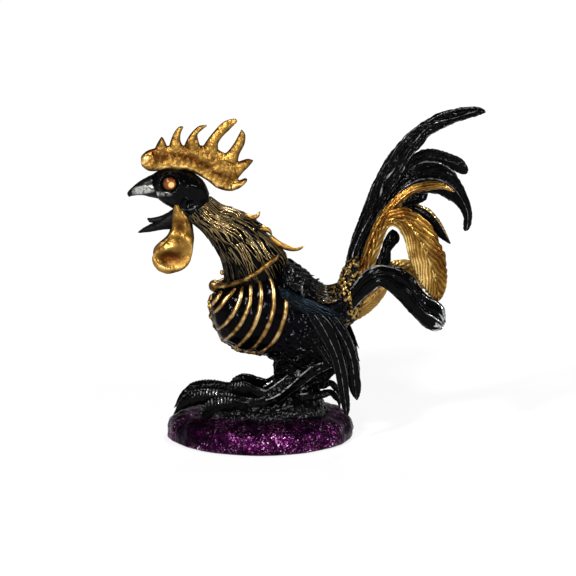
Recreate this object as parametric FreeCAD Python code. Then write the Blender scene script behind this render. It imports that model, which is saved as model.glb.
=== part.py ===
import FreeCAD, Part
import math
import os
from FreeCAD import Vector

# A rooster ornament with a bare rib cage, standing on a low oval base.
# The origin is the centre of the base's underside, +Z is up and the beak points along -X.
# The near side, which shows in the picture, is -Y, and the far side is its twin.

# Base and ground, in millimetres
base_length = 132
base_width = 104
base_height = 19
base_sides = 28
ground_length = 91
ground_height = 13
ground_width = 54
ground_sink = 7

# Legs and feet
leg_reach = 113.4
leg_height = 51.5
leg_spread = 24
toe_splay = 12
toe_thickness = 7.4
shank_thickness = 8
thigh_thickness = 20

# Body
torso_length = 98.7
torso_height = 79
torso_width = 46
rib_width = 4.6
rib_height = 3.6
rib_taper_share = 0.72
sternum_bead = 5.2
collarbone_thickness = 3.8
collarbone_knob = 8
collarbone_spread = 40
saddle_thickness = 1.6

# Neck and head
neck_length = 72.8
neck_height = 66.7
neck_width = 34
hackle_tip = 6
curl_thickness = 3.4
head_length = 48.3
head_height = 47.1
head_width = 22
beak_width = 13
tongue_width = 6
eye_diameter = 9.4
eye_bulge = 1.8
eye_seat = 2.4
comb_length = 78.4
comb_height = 51.5
comb_thickness = 9
wattle_thickness = 5
wattle_spread = 9

# Wings
wing_length = 56.7
wing_height = 92
shield_thickness = 7
secondary_thickness = 4
primary_thickness = 3.6

# Tail
tail_length = 104.3
tail_height = 161.6
tail_root_width = 21
feather_thickness = 5
sickle_thickness = 6.4
lower_sickle_thickness = 12
tail_layer = 6.5

# Wire armature inside
wire_diameter = 2.4
wire_foot_depth = 12

# Shared proportions
# A pixel is one step of the picture, taken 15 degrees from above, so what is nearer lies higher.
sight_lean_share = 0.268
barrel_sides = 12
oval_sides = 10
limb_sides = 8
bone_sides = 6
strand_sides = 18
rough_groove_share = 0.9
strand_groove_share = 0.92
inner_splay_share = 0.8
middle_splay_share = 0.33
primary_lap_share = 0.8
eye_inset_share = 0.9


def oval_shares(sides):
    """Points of a round section, as shares of its half height and half breadth."""
    turns = [2 * math.pi * k / sides for k in range(sides)]
    return [(math.cos(t), math.sin(t)) for t in turns]


def fluted_shares(sides, groove_share):
    """A round section whose every other point is drawn in, as the ridges of laid strands."""
    return [(s * f, q * f) for (s, q), f in zip(oval_shares(sides), [1, groove_share] * (sides // 2))]


# A feather's section: thin edges, a full vane and a raised shaft along its middle.
vane_shares = [(1, 0), (0.5, 0.65), (-0.5, 0.65), (-1, 0), (-0.55, -0.6), (-0.14, -0.62), (0, -1),
               (0.14, -0.62), (0.55, -0.6)]
# A flight feather's section: the same, with a plainer slope to the shaft.
flight_shares = [(1, 0), (0.5, 0.65), (-0.5, 0.65), (-1, 0), (-0.5, -0.6), (0, -1), (0.5, -0.6)]
# The tall sickle's section: five streaks laid side by side on its near face.
streak_shares = [(1, 0), (0.5, 0.65), (-0.5, 0.65), (-1, 0), (-0.8, -0.6), (-0.6, -0.35), (-0.4, -0.65),
                 (-0.2, -0.5), (0, -1), (0.2, -0.5), (0.4, -0.65), (0.6, -0.35), (0.8, -0.6)]
# A wattle's section: a dished middle inside a raised rim on its outer side.
dish_shares = [(1, 0), (0.86, 0.9), (0.3, 1), (-0.3, 1), (-0.86, 0.9), (-1, 0),
               (-0.88, -0.95), (-0.6, -0.55), (0, -0.3), (0.6, -0.55), (0.88, -0.95)]
# A wing covert's section: three laid barbs on its outer side.
barb_shares = [(1, 0), (0.7, 0.6), (-0.7, 0.6), (-1, 0), (-0.7, -0.9), (-0.3, -0.5),
               (0.1, -1), (0.4, -0.5), (0.75, -0.9)]


class Chart:
    """Turns a place in the picture of one part of the bird into millimetres.

    box_px is the part's box in the picture, length and height are its real sizes,
    and joint_px is the place that meets joint, a point of what carries the part.
    """

    def __init__(self, box_px, length, height, joint_px, joint):
        left, top, right, bottom = box_px
        self.across = length / (right - left)
        self.up = height / (bottom - top)
        self.joint_px = joint_px
        self.joint = joint

    def at(self, px, py, depth=0):
        x = self.joint.x + (px - self.joint_px[0]) * self.across
        z = self.joint.z + (self.joint_px[1] - py) * self.up - depth * sight_lean_share
        return Vector(x, depth, z)


def facet(*corners):
    return Part.Face(Part.makePolygon([*corners, corners[0]]))


def skin(rings, ragged_end=False):
    """A closed solid through rings of equally many points, with like facets on both halves of a ring.

    The end rings are flat, apart from a ragged last one, which closes in a fan about its middle.
    """
    faces = []
    count = len(rings[0])
    for low, high in zip(rings, rings[1:]):
        for i in range(count):
            j = (i + 1) % count
            if i < count // 2:
                pair = (low[i], low[j], high[j]), (low[i], high[j], high[i])
            else:
                pair = (low[i], low[j], high[i]), (low[j], high[j], high[i])
            faces.extend(facet(*corners) for corners in pair)
    faces.append(facet(*rings[0]))
    if ragged_end:
        middle = sum(rings[-1], Vector()) / count
        faces.extend(facet(middle, rings[-1][i], rings[-1][(i + 1) % count]) for i in range(count))
    else:
        faces.append(facet(*rings[-1]))
    return Part.makeSolid(Part.makeShell(faces))


def form(chart, edges_px, thickness, shares, section_shares, depths=None, fringe=0):
    """A solid between two edges in the picture: each row holds a point of both edges.

    With a fringe, every other point of the last section runs on by that length, as strand tips do.
    """
    rings = []
    middles = []
    depths = depths or [0] * len(edges_px)
    for (ax, ay, bx, by), share, depth in zip(edges_px, shares, depths):
        a = chart.at(ax, ay, depth)
        b = chart.at(bx, by, depth)
        half = (a - b) / 2
        breadth = Vector(0, thickness * share / 2, 0)
        middles.append((a + b) / 2)
        rings.append([middles[-1] + half * s + breadth * q for s, q in section_shares])
    onward = (middles[-1] - middles[-2]).normalize() * fringe
    rings[-1] = [point + onward * (k % 2 == 0) for k, point in enumerate(rings[-1])]
    return skin(rings, fringe > 0)


def limb(points, widths, heights, outward, sides=bone_sides):
    """A round or flat bar along points; outward is the direction of its height at each point."""
    rings = []
    last = len(points) - 1
    for k, point in enumerate(points):
        along = (points[min(k + 1, last)] - points[max(k - 1, 0)]).normalize()
        out = outward[k] - along * along.dot(outward[k])
        out.normalize()
        side = along.cross(out)
        rings.append([point + out * (heights[k] / 2 * c) + side * (widths[k] / 2 * s)
                      for c, s in oval_shares(sides)])
    return skin(rings)


def rod(points, diameter):
    """A wire of one diameter along points that lie in a plane beside the middle one."""
    count = len(points)
    return limb(points, [diameter] * count, [diameter] * count, [Vector(0, 1, 0)] * count, limb_sides)


def ramp(start, end, count):
    """Evenly spaced values from start to end."""
    return [start + (end - start) * k / (count - 1) for k in range(count)]


def largest(shape):
    return max(shape.Solids, key=lambda solid: solid.Volume)


def seat(piece, carriers):
    """The piece with what its carriers fill cut away, so that it sits on them face to face."""
    for carrier in carriers:
        if piece.BoundBox.intersect(carrier.BoundBox):
            piece = largest(piece.cut(carrier))
    return piece


def twin(shape):
    """The far side's copy of a near piece."""
    return shape.mirror(Vector(), Vector(0, 1, 0))


# The base: a cast oval mound whose edge is rolled in under a low dome.
base_ring_shares = [(0, 0.95), (0.2, 1), (0.45, 0.99), (0.68, 0.95), (0.85, 0.87), (0.95, 0.72), (1, 0.4)]


def base_mound():
    rings = []
    for level, reach in base_ring_shares:
        ring = []
        for k in range(base_sides):
            turn = 2 * math.pi * k / base_sides
            ring.append(Vector(base_length / 2 * reach * math.cos(turn),
                               base_width / 2 * reach * math.sin(turn), base_height * level))
        rings.append(ring)
    return skin(rings)


# The ground: a rough black rock cast on the dome, which lifts the feet.
ground_box_px = (198, 393, 328, 411)
ground_joint_px = (260, 410)
ground_top_px = [(198, 412), (208, 404), (222, 401), (240, 403), (258, 400), (275, 401), (290, 396),
                 (306, 394), (319, 400), (328, 412)]
ground_breadth_shares = [0.3, 0.66, 0.84, 0.92, 0.98, 0.94, 1, 0.92, 0.7, 0.25]


def ground_rock(chart):
    top = chart.at(*ground_joint_px).z - ground_sink
    rings = []
    section_shares = fluted_shares(oval_sides, rough_groove_share)
    for (px, py), share in zip(ground_top_px, ground_breadth_shares):
        crest = chart.at(px, py)
        half = Vector(0, 0, (crest.z - top) / 2)
        middle = Vector(crest.x, 0, top + half.z)
        breadth = Vector(0, ground_width * share / 2, 0)
        rings.append([middle + half * s + breadth * q for s, q in section_shares])
    return skin(rings)


# Legs: a thigh, a shank and four toes a side, each foot spread over the rock.
leg_box_px = (173, 330, 335, 401)
foot_joint_px = (268, 401)
ankle_px = (276, 396)
hock_px = (325, 367)
hip_px = (303, 335)
shank_edges_px = [(261, 393, 270, 405), (270, 388, 280, 401), (283, 378, 294, 391),
                  (298, 367, 309, 380), (311, 359, 322, 372), (322, 356, 332, 367)]
shank_shares = [1.1, 1, 0.86, 0.82, 1, 0.8]
thigh_edges_px = [(285, 326, 318, 320), (281, 338, 328, 334), (277, 351, 335, 348),
                  (275, 366, 338, 364), (275, 378, 331, 378), (272, 388, 322, 389), (277, 397, 319, 397)]
thigh_shares = [0.8, 1, 0.95, 0.6, 0.45, 0.4, 0.3]
thigh_depth_shares = [1, 1, 0.95, 0.8, 0.68, 0.66, 0.66]
toe_middle_px = [(274, 392, 279, 404), (258, 397, 260, 408), (241, 395, 242, 409), (223, 391, 224, 405),
                 (206, 389, 208, 404), (192, 391, 195, 406), (182, 398, 188, 409), (176, 407, 182, 411),
                 (172, 415, 173, 416)]
toe_outer_px = [(265, 400, 268, 411), (248, 401, 250, 412), (232, 397, 236, 413), (218, 397, 224, 416),
                (207, 401, 215, 417), (202, 410, 209, 419), (200, 424, 202, 424)]
toe_inner_px = [(266, 389, 269, 401), (257, 387, 259, 399), (247, 382, 249, 396), (237, 382, 237, 396),
                (229, 388, 231, 399), (223, 402, 225, 404)]
hallux_px = [(300, 392, 302, 405), (312, 392, 313, 401), (322, 391, 323, 398), (331, 390, 330, 396),
             (338, 394, 334, 399), (341, 402, 338, 404), (340, 412, 339, 412)]
toe_shares = [1.1, 1, 1.12, 1.1, 1.2, 1.1, 0.9, 0.7, 0.45, 0.12]


def shank(chart):
    depths = [-leg_spread / 2] * len(shank_edges_px)
    return form(chart, shank_edges_px, shank_thickness, shank_shares, oval_shares(limb_sides), depths)


def thigh(chart):
    """The thigh with its ragged feathers, which hang down behind the shank."""
    depths = [-leg_spread / 2 * share for share in thigh_depth_shares]
    section_shares = fluted_shares(limb_sides, rough_groove_share)
    return form(chart, thigh_edges_px, thigh_thickness, thigh_shares, section_shares, depths)


def toe(chart, edges_px, splay):
    """A toe and its claw, which swings out sideways by splay."""
    count = len(edges_px)
    shares = toe_shares[:count - 3] + toe_shares[-3:]
    depths = [-leg_spread / 2 - splay * share ** 2 for share in ramp(0, 1, count)]
    return form(chart, edges_px, toe_thickness, shares, oval_shares(bone_sides), depths)


# The torso: a black barrel behind the ribs that runs back to the tail.
torso_box_px = (211, 259, 352, 368)
torso_joint_px = hip_px
torso_edges_px = [(212, 293, 211, 316), (219, 287, 215, 329), (230, 282, 223, 342), (244, 276, 237, 351),
                  (260, 267, 255, 355), (277, 262, 275, 361), (294, 266, 292, 367), (309, 276, 309, 366),
                  (324, 287, 325, 353), (337, 287, 338, 336), (347, 279, 351, 319)]
torso_shares = [0.3, 0.56, 0.78, 0.92, 1, 1, 0.98, 0.9, 0.76, 0.6, 0.4]
core_inset_share = 0.93


class Torso:
    """The barrel of the body, and places on its near flank."""

    def __init__(self, chart):
        self.chart = chart
        self.rows = []
        for (ax, ay, bx, by), share in zip(torso_edges_px, torso_shares):
            top = chart.at(ax, ay)
            bottom = chart.at(bx, by)
            middle = (top + bottom) / 2
            self.rows.append((middle, (top - bottom) / 2 * core_inset_share, torso_width / 2 * share))

    def solid(self):
        rings = []
        for middle, half, breadth in self.rows:
            across = Vector(0, breadth, 0)
            rings.append([middle + half * s + across * q for s, q in oval_shares(barrel_sides)])
        return skin(rings)

    def section(self, x):
        """Middle height, half height and half breadth of the barrel at x."""
        pairs = list(zip(self.rows, self.rows[1:]))
        for (low, half_low, breadth_low), (high, half_high, breadth_high) in pairs:
            if x <= high.x:
                break
        share = min(max((x - low.x) / (high.x - low.x), 0), 1)
        return (low.z + (high.z - low.z) * share, half_low.z + (half_high.z - half_low.z) * share,
                breadth_low + (breadth_high - breadth_low) * share)

    def flank(self, px, py):
        """The point of the near flank that shows at a place in the picture, and its outward direction."""
        point = self.chart.at(px, py)
        middle, half, breadth = self.section(point.x)
        for _ in range(12):
            height = min(max((point.z - middle) / half, -0.999), 0.999)
            point = self.chart.at(px, py, -breadth * math.sqrt(1 - height ** 2))
        return point, Vector(0, point.y / breadth ** 2, (point.z - middle) / half ** 2)


# Ribs: seven gold pairs that run from the back round the flank to the breastbone.
rib_paths_px = [
    [(222, 291), (219, 297), (215, 302), (213, 305)],
    [(236, 288), (232, 294), (226, 300), (220, 308), (214, 313)],
    [(243, 283), (242, 291), (240, 301), (235, 311), (229, 320), (223, 326), (218, 328)],
    [(250, 279), (251, 291), (250, 303), (246, 314), (239, 326), (230, 336), (221, 341)],
    [(256, 275), (261, 287), (261, 302), (258, 316), (251, 331), (241, 343), (231, 348)],
    [(264, 270), (272, 283), (274, 299), (272, 315), (265, 332), (255, 346), (245, 351)],
    [(279, 286), (286, 300), (284, 318), (278, 334), (269, 346), (259, 352)],
]


def rib(torso, path_px):
    """One rib of the near side, half sunk in the flank."""
    places = [torso.flank(px, py) for px, py in path_px]
    points = [point for point, out in places]
    count = len(points)
    tapers = [1] * count
    tapers[0] = tapers[-1] = rib_taper_share
    return limb(points, [rib_width * t for t in tapers], [rib_height * t for t in tapers],
                [out for point, out in places])


# The breastbone: a row of gold knuckles down the front edge and under the keel.
sternum_path_px = [(212, 296), (210, 301), (211, 306), (211, 311), (212, 316), (214, 321), (216, 326),
                   (219, 332), (223, 338), (230, 344), (238, 349), (249, 352), (260, 353), (272, 354)]
sternum_bead_shares = [0.6, 0.8, 1, 0.66, 1, 0.66, 1, 0.66, 1, 0.7, 0.9, 0.66, 0.9, 0.5]


def sternum(chart):
    points = [chart.at(px, py) for px, py in sternum_path_px]
    sizes = [sternum_bead * share for share in sternum_bead_shares]
    middle = chart.at(*hip_px)
    outward = [point - middle for point in points]
    return limb(points, sizes, sizes, outward)


# The collarbone: a forked bone whose knob stands over the breast and whose arms reach the shoulders.
collarbone_path_px = [(215, 285), (222, 286), (233, 284), (248, 278), (260, 271), (270, 263), (279, 256)]
collarbone_spread_shares = [0, 0.32, 0.62, 0.9, 1.02, 1.04, 0.9]
knob_path_px = [(210, 286), (213, 286), (217, 285), (221, 285)]
knob_shares = [0.5, 0.95, 1, 0.55]


def collarbone(chart):
    points = []
    for (px, py), share in zip(collarbone_path_px, collarbone_spread_shares):
        points.append(chart.at(px, py, -collarbone_spread / 2 * share))
    sizes = [collarbone_thickness] * len(points)
    arm = limb(points, sizes, sizes, [Vector(0, 0, 1)] * len(points))
    knob_points = [chart.at(px, py) for px, py in knob_path_px]
    knob_sizes = [collarbone_knob * share for share in knob_shares]
    knob = limb(knob_points, knob_sizes, knob_sizes, [Vector(0, 0, 1)] * len(knob_points), limb_sides)
    return largest(knob.fuse([arm, twin(arm)]))


# The saddle: long feathers laid over the back from the neck to the tail.
saddle_edges_px = [(284, 258, 282, 280), (298, 267, 295, 289), (312, 277, 308, 299), (326, 285, 323, 308),
                   (341, 280, 343, 311)]
saddle_width_shares = [0.96, 0.97, 0.88, 0.76, 0.54]


def saddle(chart):
    shares = [share * (torso_width + 2 * saddle_thickness) / torso_width for share in saddle_width_shares]
    section_shares = fluted_shares(strand_sides, strand_groove_share)
    return form(chart, saddle_edges_px, torso_width, shares, section_shares)


# The neck: a lower column set in the breast, and an upper one whose skirt of hackles hangs over it.
neck_box_px = (186, 196, 290, 288)
neck_joint_px = (258, 262)
lower_hackle_px = [(208, 232, 235, 217), (215, 245, 252, 224), (221, 258, 267, 235), (225, 269, 278, 247),
                   (229, 280, 286, 257), (240, 292, 288, 272)]
lower_hackle_shares = [0.72, 0.84, 0.94, 0.98, 0.96, 0.8]
upper_hackle_px = [(187, 216, 211, 197), (192, 222, 222, 206), (201, 229, 236, 211), (209, 238, 249, 217),
                   (216, 249, 262, 226)]
upper_hackle_shares = [0.6, 0.7, 0.82, 0.93, 1]
curl_back_px = [(240, 218), (247, 217), (253, 218), (258, 216), (260, 212)]
curl_middle_px = [(258, 228), (264, 229), (269, 231), (272, 235)]
curl_shoulder_px = [(276, 243), (284, 246), (291, 249), (298, 249), (304, 246)]
curl_breast_px = [(231, 268), (226, 271), (222, 273), (221, 270)]
curl_shares = [1, 1, 0.9, 0.6, 0.2]


def hackle(chart, edges_px, shares):
    """A length of the neck under laid strands, with a ridge and a pointed tip for each strand."""
    section_shares = fluted_shares(strand_sides, strand_groove_share)
    return form(chart, edges_px, neck_width, shares, section_shares, fringe=hackle_tip)


def curl(chart, path_px):
    points = [chart.at(px, py) for px, py in path_px]
    count = len(points)
    sizes = [curl_thickness * share for share in curl_shares[-count:]]
    return limb(points, [size * 2 for size in sizes], sizes, [Vector(0, 0, 1)] * count)


# The head: a bare skull with an open beak, a tall comb and hanging wattles.
head_box_px = (143, 170, 212, 235)
head_joint_px = (202, 208)
skull_edges_px = [(151, 177, 157, 198), (160, 172, 165, 204), (172, 170, 174, 209), (185, 171, 184, 215),
                  (196, 175, 192, 219), (205, 183, 198, 222), (210, 194, 204, 220)]
skull_shares = [0.5, 0.74, 0.96, 1, 0.94, 0.8, 0.55]
upper_beak_px = [(155, 175, 166, 201), (146, 179, 153, 198), (138, 184, 144, 196), (131, 190, 136, 196),
                 (128, 194, 130, 198)]
upper_beak_shares = [1, 0.84, 0.6, 0.36, 0.14]
lower_beak_px = [(177, 207, 175, 229), (167, 214, 163, 230), (158, 221, 151, 232), (148, 226, 142, 233),
                 (140, 231, 138, 233)]
lower_beak_shares = [1, 0.9, 0.7, 0.45, 0.14]
tongue_px = [(172, 211, 168, 222), (162, 216, 160, 223), (153, 218, 151, 223), (148, 218, 148, 220)]
tongue_shares = [1, 0.9, 0.66, 0.3]
eye_px = (171, 185)
eye_ring_sides = 12
eye_rise_share = 0.7
eye_reach_shares = [0.9, 1, 0.72, 0.3]


def skull(chart):
    return form(chart, skull_edges_px, head_width, skull_shares, oval_shares(barrel_sides))


def upper_beak(chart):
    return form(chart, upper_beak_px, beak_width, upper_beak_shares, oval_shares(limb_sides))


def lower_beak(chart):
    return form(chart, lower_beak_px, beak_width, lower_beak_shares, oval_shares(limb_sides))


def tongue(chart):
    return form(chart, tongue_px, tongue_width, tongue_shares, oval_shares(limb_sides))


def eye(chart):
    """A domed eye that stands a little out of the side of the skull."""
    face_depth = -head_width / 2 * eye_inset_share
    middle = chart.at(eye_px[0], eye_px[1], face_depth)
    rings = []
    for rise, reach in zip((-eye_seat, 0, eye_bulge * eye_rise_share, eye_bulge), eye_reach_shares):
        ring = []
        for k in range(eye_ring_sides):
            turn = 2 * math.pi * k / eye_ring_sides
            radius = eye_diameter / 2 * reach
            ring.append(middle + Vector(radius * math.cos(turn), -rise, radius * math.sin(turn)))
        rings.append(ring)
    return skin(rings)


# The comb: a gold crest of seven curled flames on a thick ridge.
comb_box_px = (142, 121, 254, 192)
comb_joint_px = (178, 171)
comb_ridge_px = [(143, 158, 143, 167), (149, 152, 150, 172), (160, 149, 162, 172), (173, 147, 176, 171),
                 (188, 147, 192, 173), (203, 147, 207, 181), (216, 150, 218, 189), (228, 156, 230, 192),
                 (238, 165, 239, 189)]
comb_ridge_shares = [0.6, 1, 0.9, 0.86, 0.84, 0.8, 0.74, 0.62, 0.4]
comb_flames_px = [
    [(154, 155, 170, 155), (158, 146, 168, 147), (161, 141, 166, 142), (163, 138, 164, 139)],
    [(169, 155, 186, 150), (171, 145, 182, 143), (175, 135, 182, 136), (180, 129, 184, 131),
     (184, 128, 185, 129)],
    [(184, 152, 202, 150), (187, 143, 199, 140), (193, 134, 199, 136), (200, 128, 203, 132),
     (207, 127, 208, 128)],
    [(201, 152, 220, 156), (207, 143, 219, 146), (214, 134, 223, 139), (224, 124, 231, 131),
     (233, 121, 237, 125), (237, 121, 238, 123)],
    [(220, 158, 238, 166), (228, 153, 240, 156), (235, 144, 245, 146), (240, 135, 246, 137),
     (242, 131, 243, 132)],
    [(234, 165, 238, 180), (241, 162, 244, 173), (248, 160, 249, 168), (253, 161, 254, 162)],
    [(232, 182, 232, 192), (240, 181, 240, 189), (245, 179, 246, 184), (247, 179, 248, 181)],
]
comb_flame_shares = [0.7, 0.66, 0.56, 0.4, 0.26, 0.14]


def comb(chart):
    ridge = form(chart, comb_ridge_px, comb_thickness, comb_ridge_shares, oval_shares(bone_sides))
    flames = []
    for edges_px in comb_flames_px:
        shares = comb_flame_shares[:len(edges_px) - 1] + comb_flame_shares[-1:]
        flames.append(form(chart, edges_px, comb_thickness, shares, oval_shares(bone_sides)))
    return largest(ridge.fuse(flames))


# Wattles: two dished gold lobes under the cheeks.
wattle_edges_px = [(176, 205, 181, 206), (174, 213, 185, 213), (173, 222, 190, 221), (172, 232, 193, 231),
                   (166, 243, 194, 242), (156, 252, 193, 251), (153, 261, 190, 262), (158, 270, 184, 269),
                   (167, 274, 175, 273)]
wattle_shares = [0.6, 0.8, 1, 1, 1, 1, 1, 0.8, 0.4]


def wattle(chart):
    depths = [-wattle_spread] * len(wattle_edges_px)
    return form(chart, wattle_edges_px, wattle_thickness, wattle_shares, dish_shares, depths)


# Wings: a shield of coverts on the flank, then secondaries and three long primaries that hang to the base.
wing_box_px = (280, 289, 361, 416)
wing_joint_px = (281, 293)
shield_edges_px = [(279, 287, 281, 297), (290, 291, 290, 304), (301, 296, 300, 311), (313, 301, 311, 317),
                   (326, 307, 323, 321), (338, 313, 335, 323), (344, 318, 342, 323)]
shield_shares = [0.6, 1, 1, 1, 0.9, 0.7, 0.4]
secondary_edges_px = [(292, 305, 306, 312), (296, 318, 316, 318), (302, 330, 326, 327), (310, 342, 333, 338),
                      (319, 354, 340, 350), (328, 366, 342, 363)]
secondary_shares = [0.8, 1, 1, 0.9, 0.8, 0.4]
primary_edges_px = [
    [(307, 314, 322, 314), (315, 328, 332, 326), (325, 345, 338, 340), (332, 360, 343, 356),
     (336, 378, 347, 374), (339, 394, 349, 392), (342, 408, 350, 408), (345, 416, 348, 416)],
    [(322, 316, 336, 317), (332, 330, 344, 328), (340, 345, 352, 342), (346, 362, 357, 358),
     (348, 378, 360, 376), (350, 391, 361, 390), (356, 400, 358, 400)],
    [(332, 315, 342, 321), (342, 326, 350, 336), (350, 340, 356, 350), (355, 355, 360, 362)],
]
primary_shares = [0.9, 1, 1, 1, 0.9, 0.8, 0.7, 0.3]


def wing_shield(torso, chart):
    depths = [torso.flank((ax + bx) / 2, (ay + by) / 2)[0].y for ax, ay, bx, by in shield_edges_px]
    return form(chart, shield_edges_px, shield_thickness, shield_shares, barb_shares, depths)


def secondaries(torso, chart):
    start = torso.flank(*wing_joint_px)[0].y
    depths = [start] * len(secondary_edges_px)
    return form(chart, secondary_edges_px, secondary_thickness, secondary_shares, barb_shares, depths)


def primary(torso, chart, edges_px, layer):
    """A long flight feather; each layer lies further in than the one before."""
    start = torso.flank(*wing_joint_px)[0].y + layer * primary_thickness * primary_lap_share
    depths = [start - primary_thickness] * len(edges_px)
    shares = primary_shares[:len(edges_px) - 1] + primary_shares[-1:]
    return form(chart, edges_px, primary_thickness, shares, flight_shares, depths)


# The tail: a knobbly root that holds eleven curved feathers, side by side in layers.
tail_box_px = (335, 108, 484, 331)
tail_joint_px = (346, 300)
tail_root_px = [(333, 296, 338, 326), (338, 284, 348, 325), (342, 272, 356, 318), (347, 264, 361, 304),
                (352, 259, 363, 288), (357, 257, 363, 272)]
tail_root_shares = [0.7, 0.95, 1, 0.95, 0.8, 0.5]
# Each feather: its edges in the picture, then its layers at the root and at the tip.
tail_feathers_px = {
    "sickle_tall": [(344, 276, 357, 276), (347, 254, 359, 255), (354, 231, 367, 234), (363, 206, 382, 210),
                    (374, 180, 396, 184), (388, 155, 409, 160), (402, 139, 421, 147), (419, 125, 428, 138),
                    (437, 115, 444, 129), (458, 110, 462, 122), (475, 109, 475, 118), (483, 113, 483, 115)],
    "sickle_barbed": [(398, 176, 402, 180), (409, 158, 412, 172), (423, 150, 424, 167), (436, 150, 438, 168),
                      (449, 154, 449, 170), (459, 158, 457, 173), (466, 165, 464, 175), (468, 170, 467, 173)],
    "sickle_high": [(353, 274, 360, 275), (362, 248, 369, 251), (375, 219, 384, 224), (387, 200, 396, 208),
                    (398, 182, 407, 200), (410, 168, 416, 195), (424, 162, 425, 194), (440, 163, 436, 195),
                    (453, 172, 448, 200), (463, 187, 457, 207), (470, 204, 463, 217), (471, 217, 464, 226),
                    (467, 229, 465, 230)],
    "stripe_gold": [(351, 282, 360, 284), (361, 257, 371, 258), (367, 239, 377, 242), (377, 217, 388, 222),
                    (391, 200, 400, 207), (409, 187, 413, 195), (428, 182, 429, 191), (442, 184, 442, 190),
                    (453, 192, 453, 193)],
    "feather_rimmed": [(386, 215, 390, 219), (398, 204, 401, 211), (411, 203, 409, 212), (422, 206, 418, 217),
                       (431, 211, 425, 223), (439, 220, 432, 230), (445, 230, 438, 237), (449, 239, 446, 242),
                       (451, 243, 450, 244)],
    "feather_curl": [(388, 210, 394, 217), (398, 200, 401, 209), (410, 195, 410, 206), (420, 194, 419, 204),
                     (427, 195, 425, 201)],
    "sickle_gold": [(350, 290, 359, 297), (361, 267, 371, 272), (370, 244, 380, 249), (377, 226, 386, 232),
                    (385, 213, 391, 227), (396, 209, 397, 229), (409, 210, 401, 235), (421, 217, 405, 246),
                    (432, 229, 409, 260), (441, 246, 415, 275), (446, 268, 422, 288), (446, 285, 428, 296),
                    (442, 296, 433, 300), (439, 300, 437, 301)],
    "feather_inner": [(352, 286, 361, 296), (360, 277, 370, 284), (376, 260, 389, 264), (381, 248, 391, 251),
                      (385, 237, 395, 246), (391, 230, 399, 241), (396, 231, 399, 235)],
    "feather_under": [(354, 290, 359, 300), (363, 277, 368, 292), (378, 267, 381, 283), (392, 261, 393, 279),
                      (404, 259, 406, 280), (414, 262, 414, 286), (424, 272, 420, 289), (428, 282, 425, 289)],
    "sickle_lower": [(350, 288, 353, 311), (357, 279, 361, 301), (365, 270, 370, 293), (376, 265, 379, 287),
                     (388, 265, 387, 291), (401, 269, 396, 298), (412, 276, 404, 307), (420, 287, 412, 316),
                     (428, 296, 420, 324), (438, 301, 428, 330), (444, 310, 436, 331), (445, 321, 441, 329)],
    "crescent_gold": [(342, 313, 341, 325), (352, 303, 355, 321), (361, 297, 366, 315), (370, 290, 376, 307),
                      (378, 285, 383, 298), (384, 285, 387, 291)],
}
tail_layers_shares = {
    "sickle_tall": (0.6, 0.4), "sickle_barbed": (1.2, 2.4), "sickle_high": (1, 1.6),
    "stripe_gold": (-0.4, -0.2), "feather_rimmed": (0.5, 1.4), "feather_curl": (0, -0.4),
    "sickle_gold": (-1, -2.2), "feather_inner": (-0.3, 0.4), "feather_under": (0.2, 0.4),
    "sickle_lower": (-1.4, -3), "crescent_gold": (0.3, -0.4),
}
tail_thicknesses = {
    "sickle_tall": sickle_thickness, "sickle_high": sickle_thickness, "sickle_gold": sickle_thickness,
    "sickle_lower": lower_sickle_thickness,
}
tail_section_shares = {"sickle_tall": streak_shares}
feather_taper_shares = [0.8, 0.9, 1, 1, 1, 1, 1, 1, 1, 0.96, 0.92, 0.8, 0.6, 0.3]


def tail_root(chart):
    section_shares = fluted_shares(oval_sides, rough_groove_share)
    return form(chart, tail_root_px, tail_root_width, tail_root_shares, section_shares)


def tail_feather(chart, name):
    edges_px = tail_feathers_px[name]
    count = len(edges_px)
    root_layer, tip_layer = tail_layers_shares[name]
    depths = [tail_layer * layer for layer in ramp(root_layer, tip_layer, count)]
    shares = feather_taper_shares[:count - 3] + feather_taper_shares[-3:]
    thickness = tail_thicknesses.get(name, feather_thickness)
    section_shares = tail_section_shares.get(name, vane_shares)
    return form(chart, edges_px, thickness, shares, section_shares, depths)


def leg_wire(legs, torso_chart):
    """A wire from the base up the shank and the thigh into the torso."""
    depth = -leg_spread / 2
    foot = legs.at(*ankle_px, depth)
    points = [Vector(foot.x, depth, base_height - wire_foot_depth), foot, legs.at(*hock_px, depth),
              torso_chart.at(*hip_px, depth)]
    return rod(points, wire_diameter)


neck_wire_px = [(270, 290), (255, 262), (236, 236), (212, 219), (190, 200)]
tail_wire_px = [(318, 312), (340, 300), (352, 282)]


def middle_wire(chart, path_px):
    """A wire in the middle plane."""
    return rod([chart.at(px, py) for px, py in path_px], wire_diameter)


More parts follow.
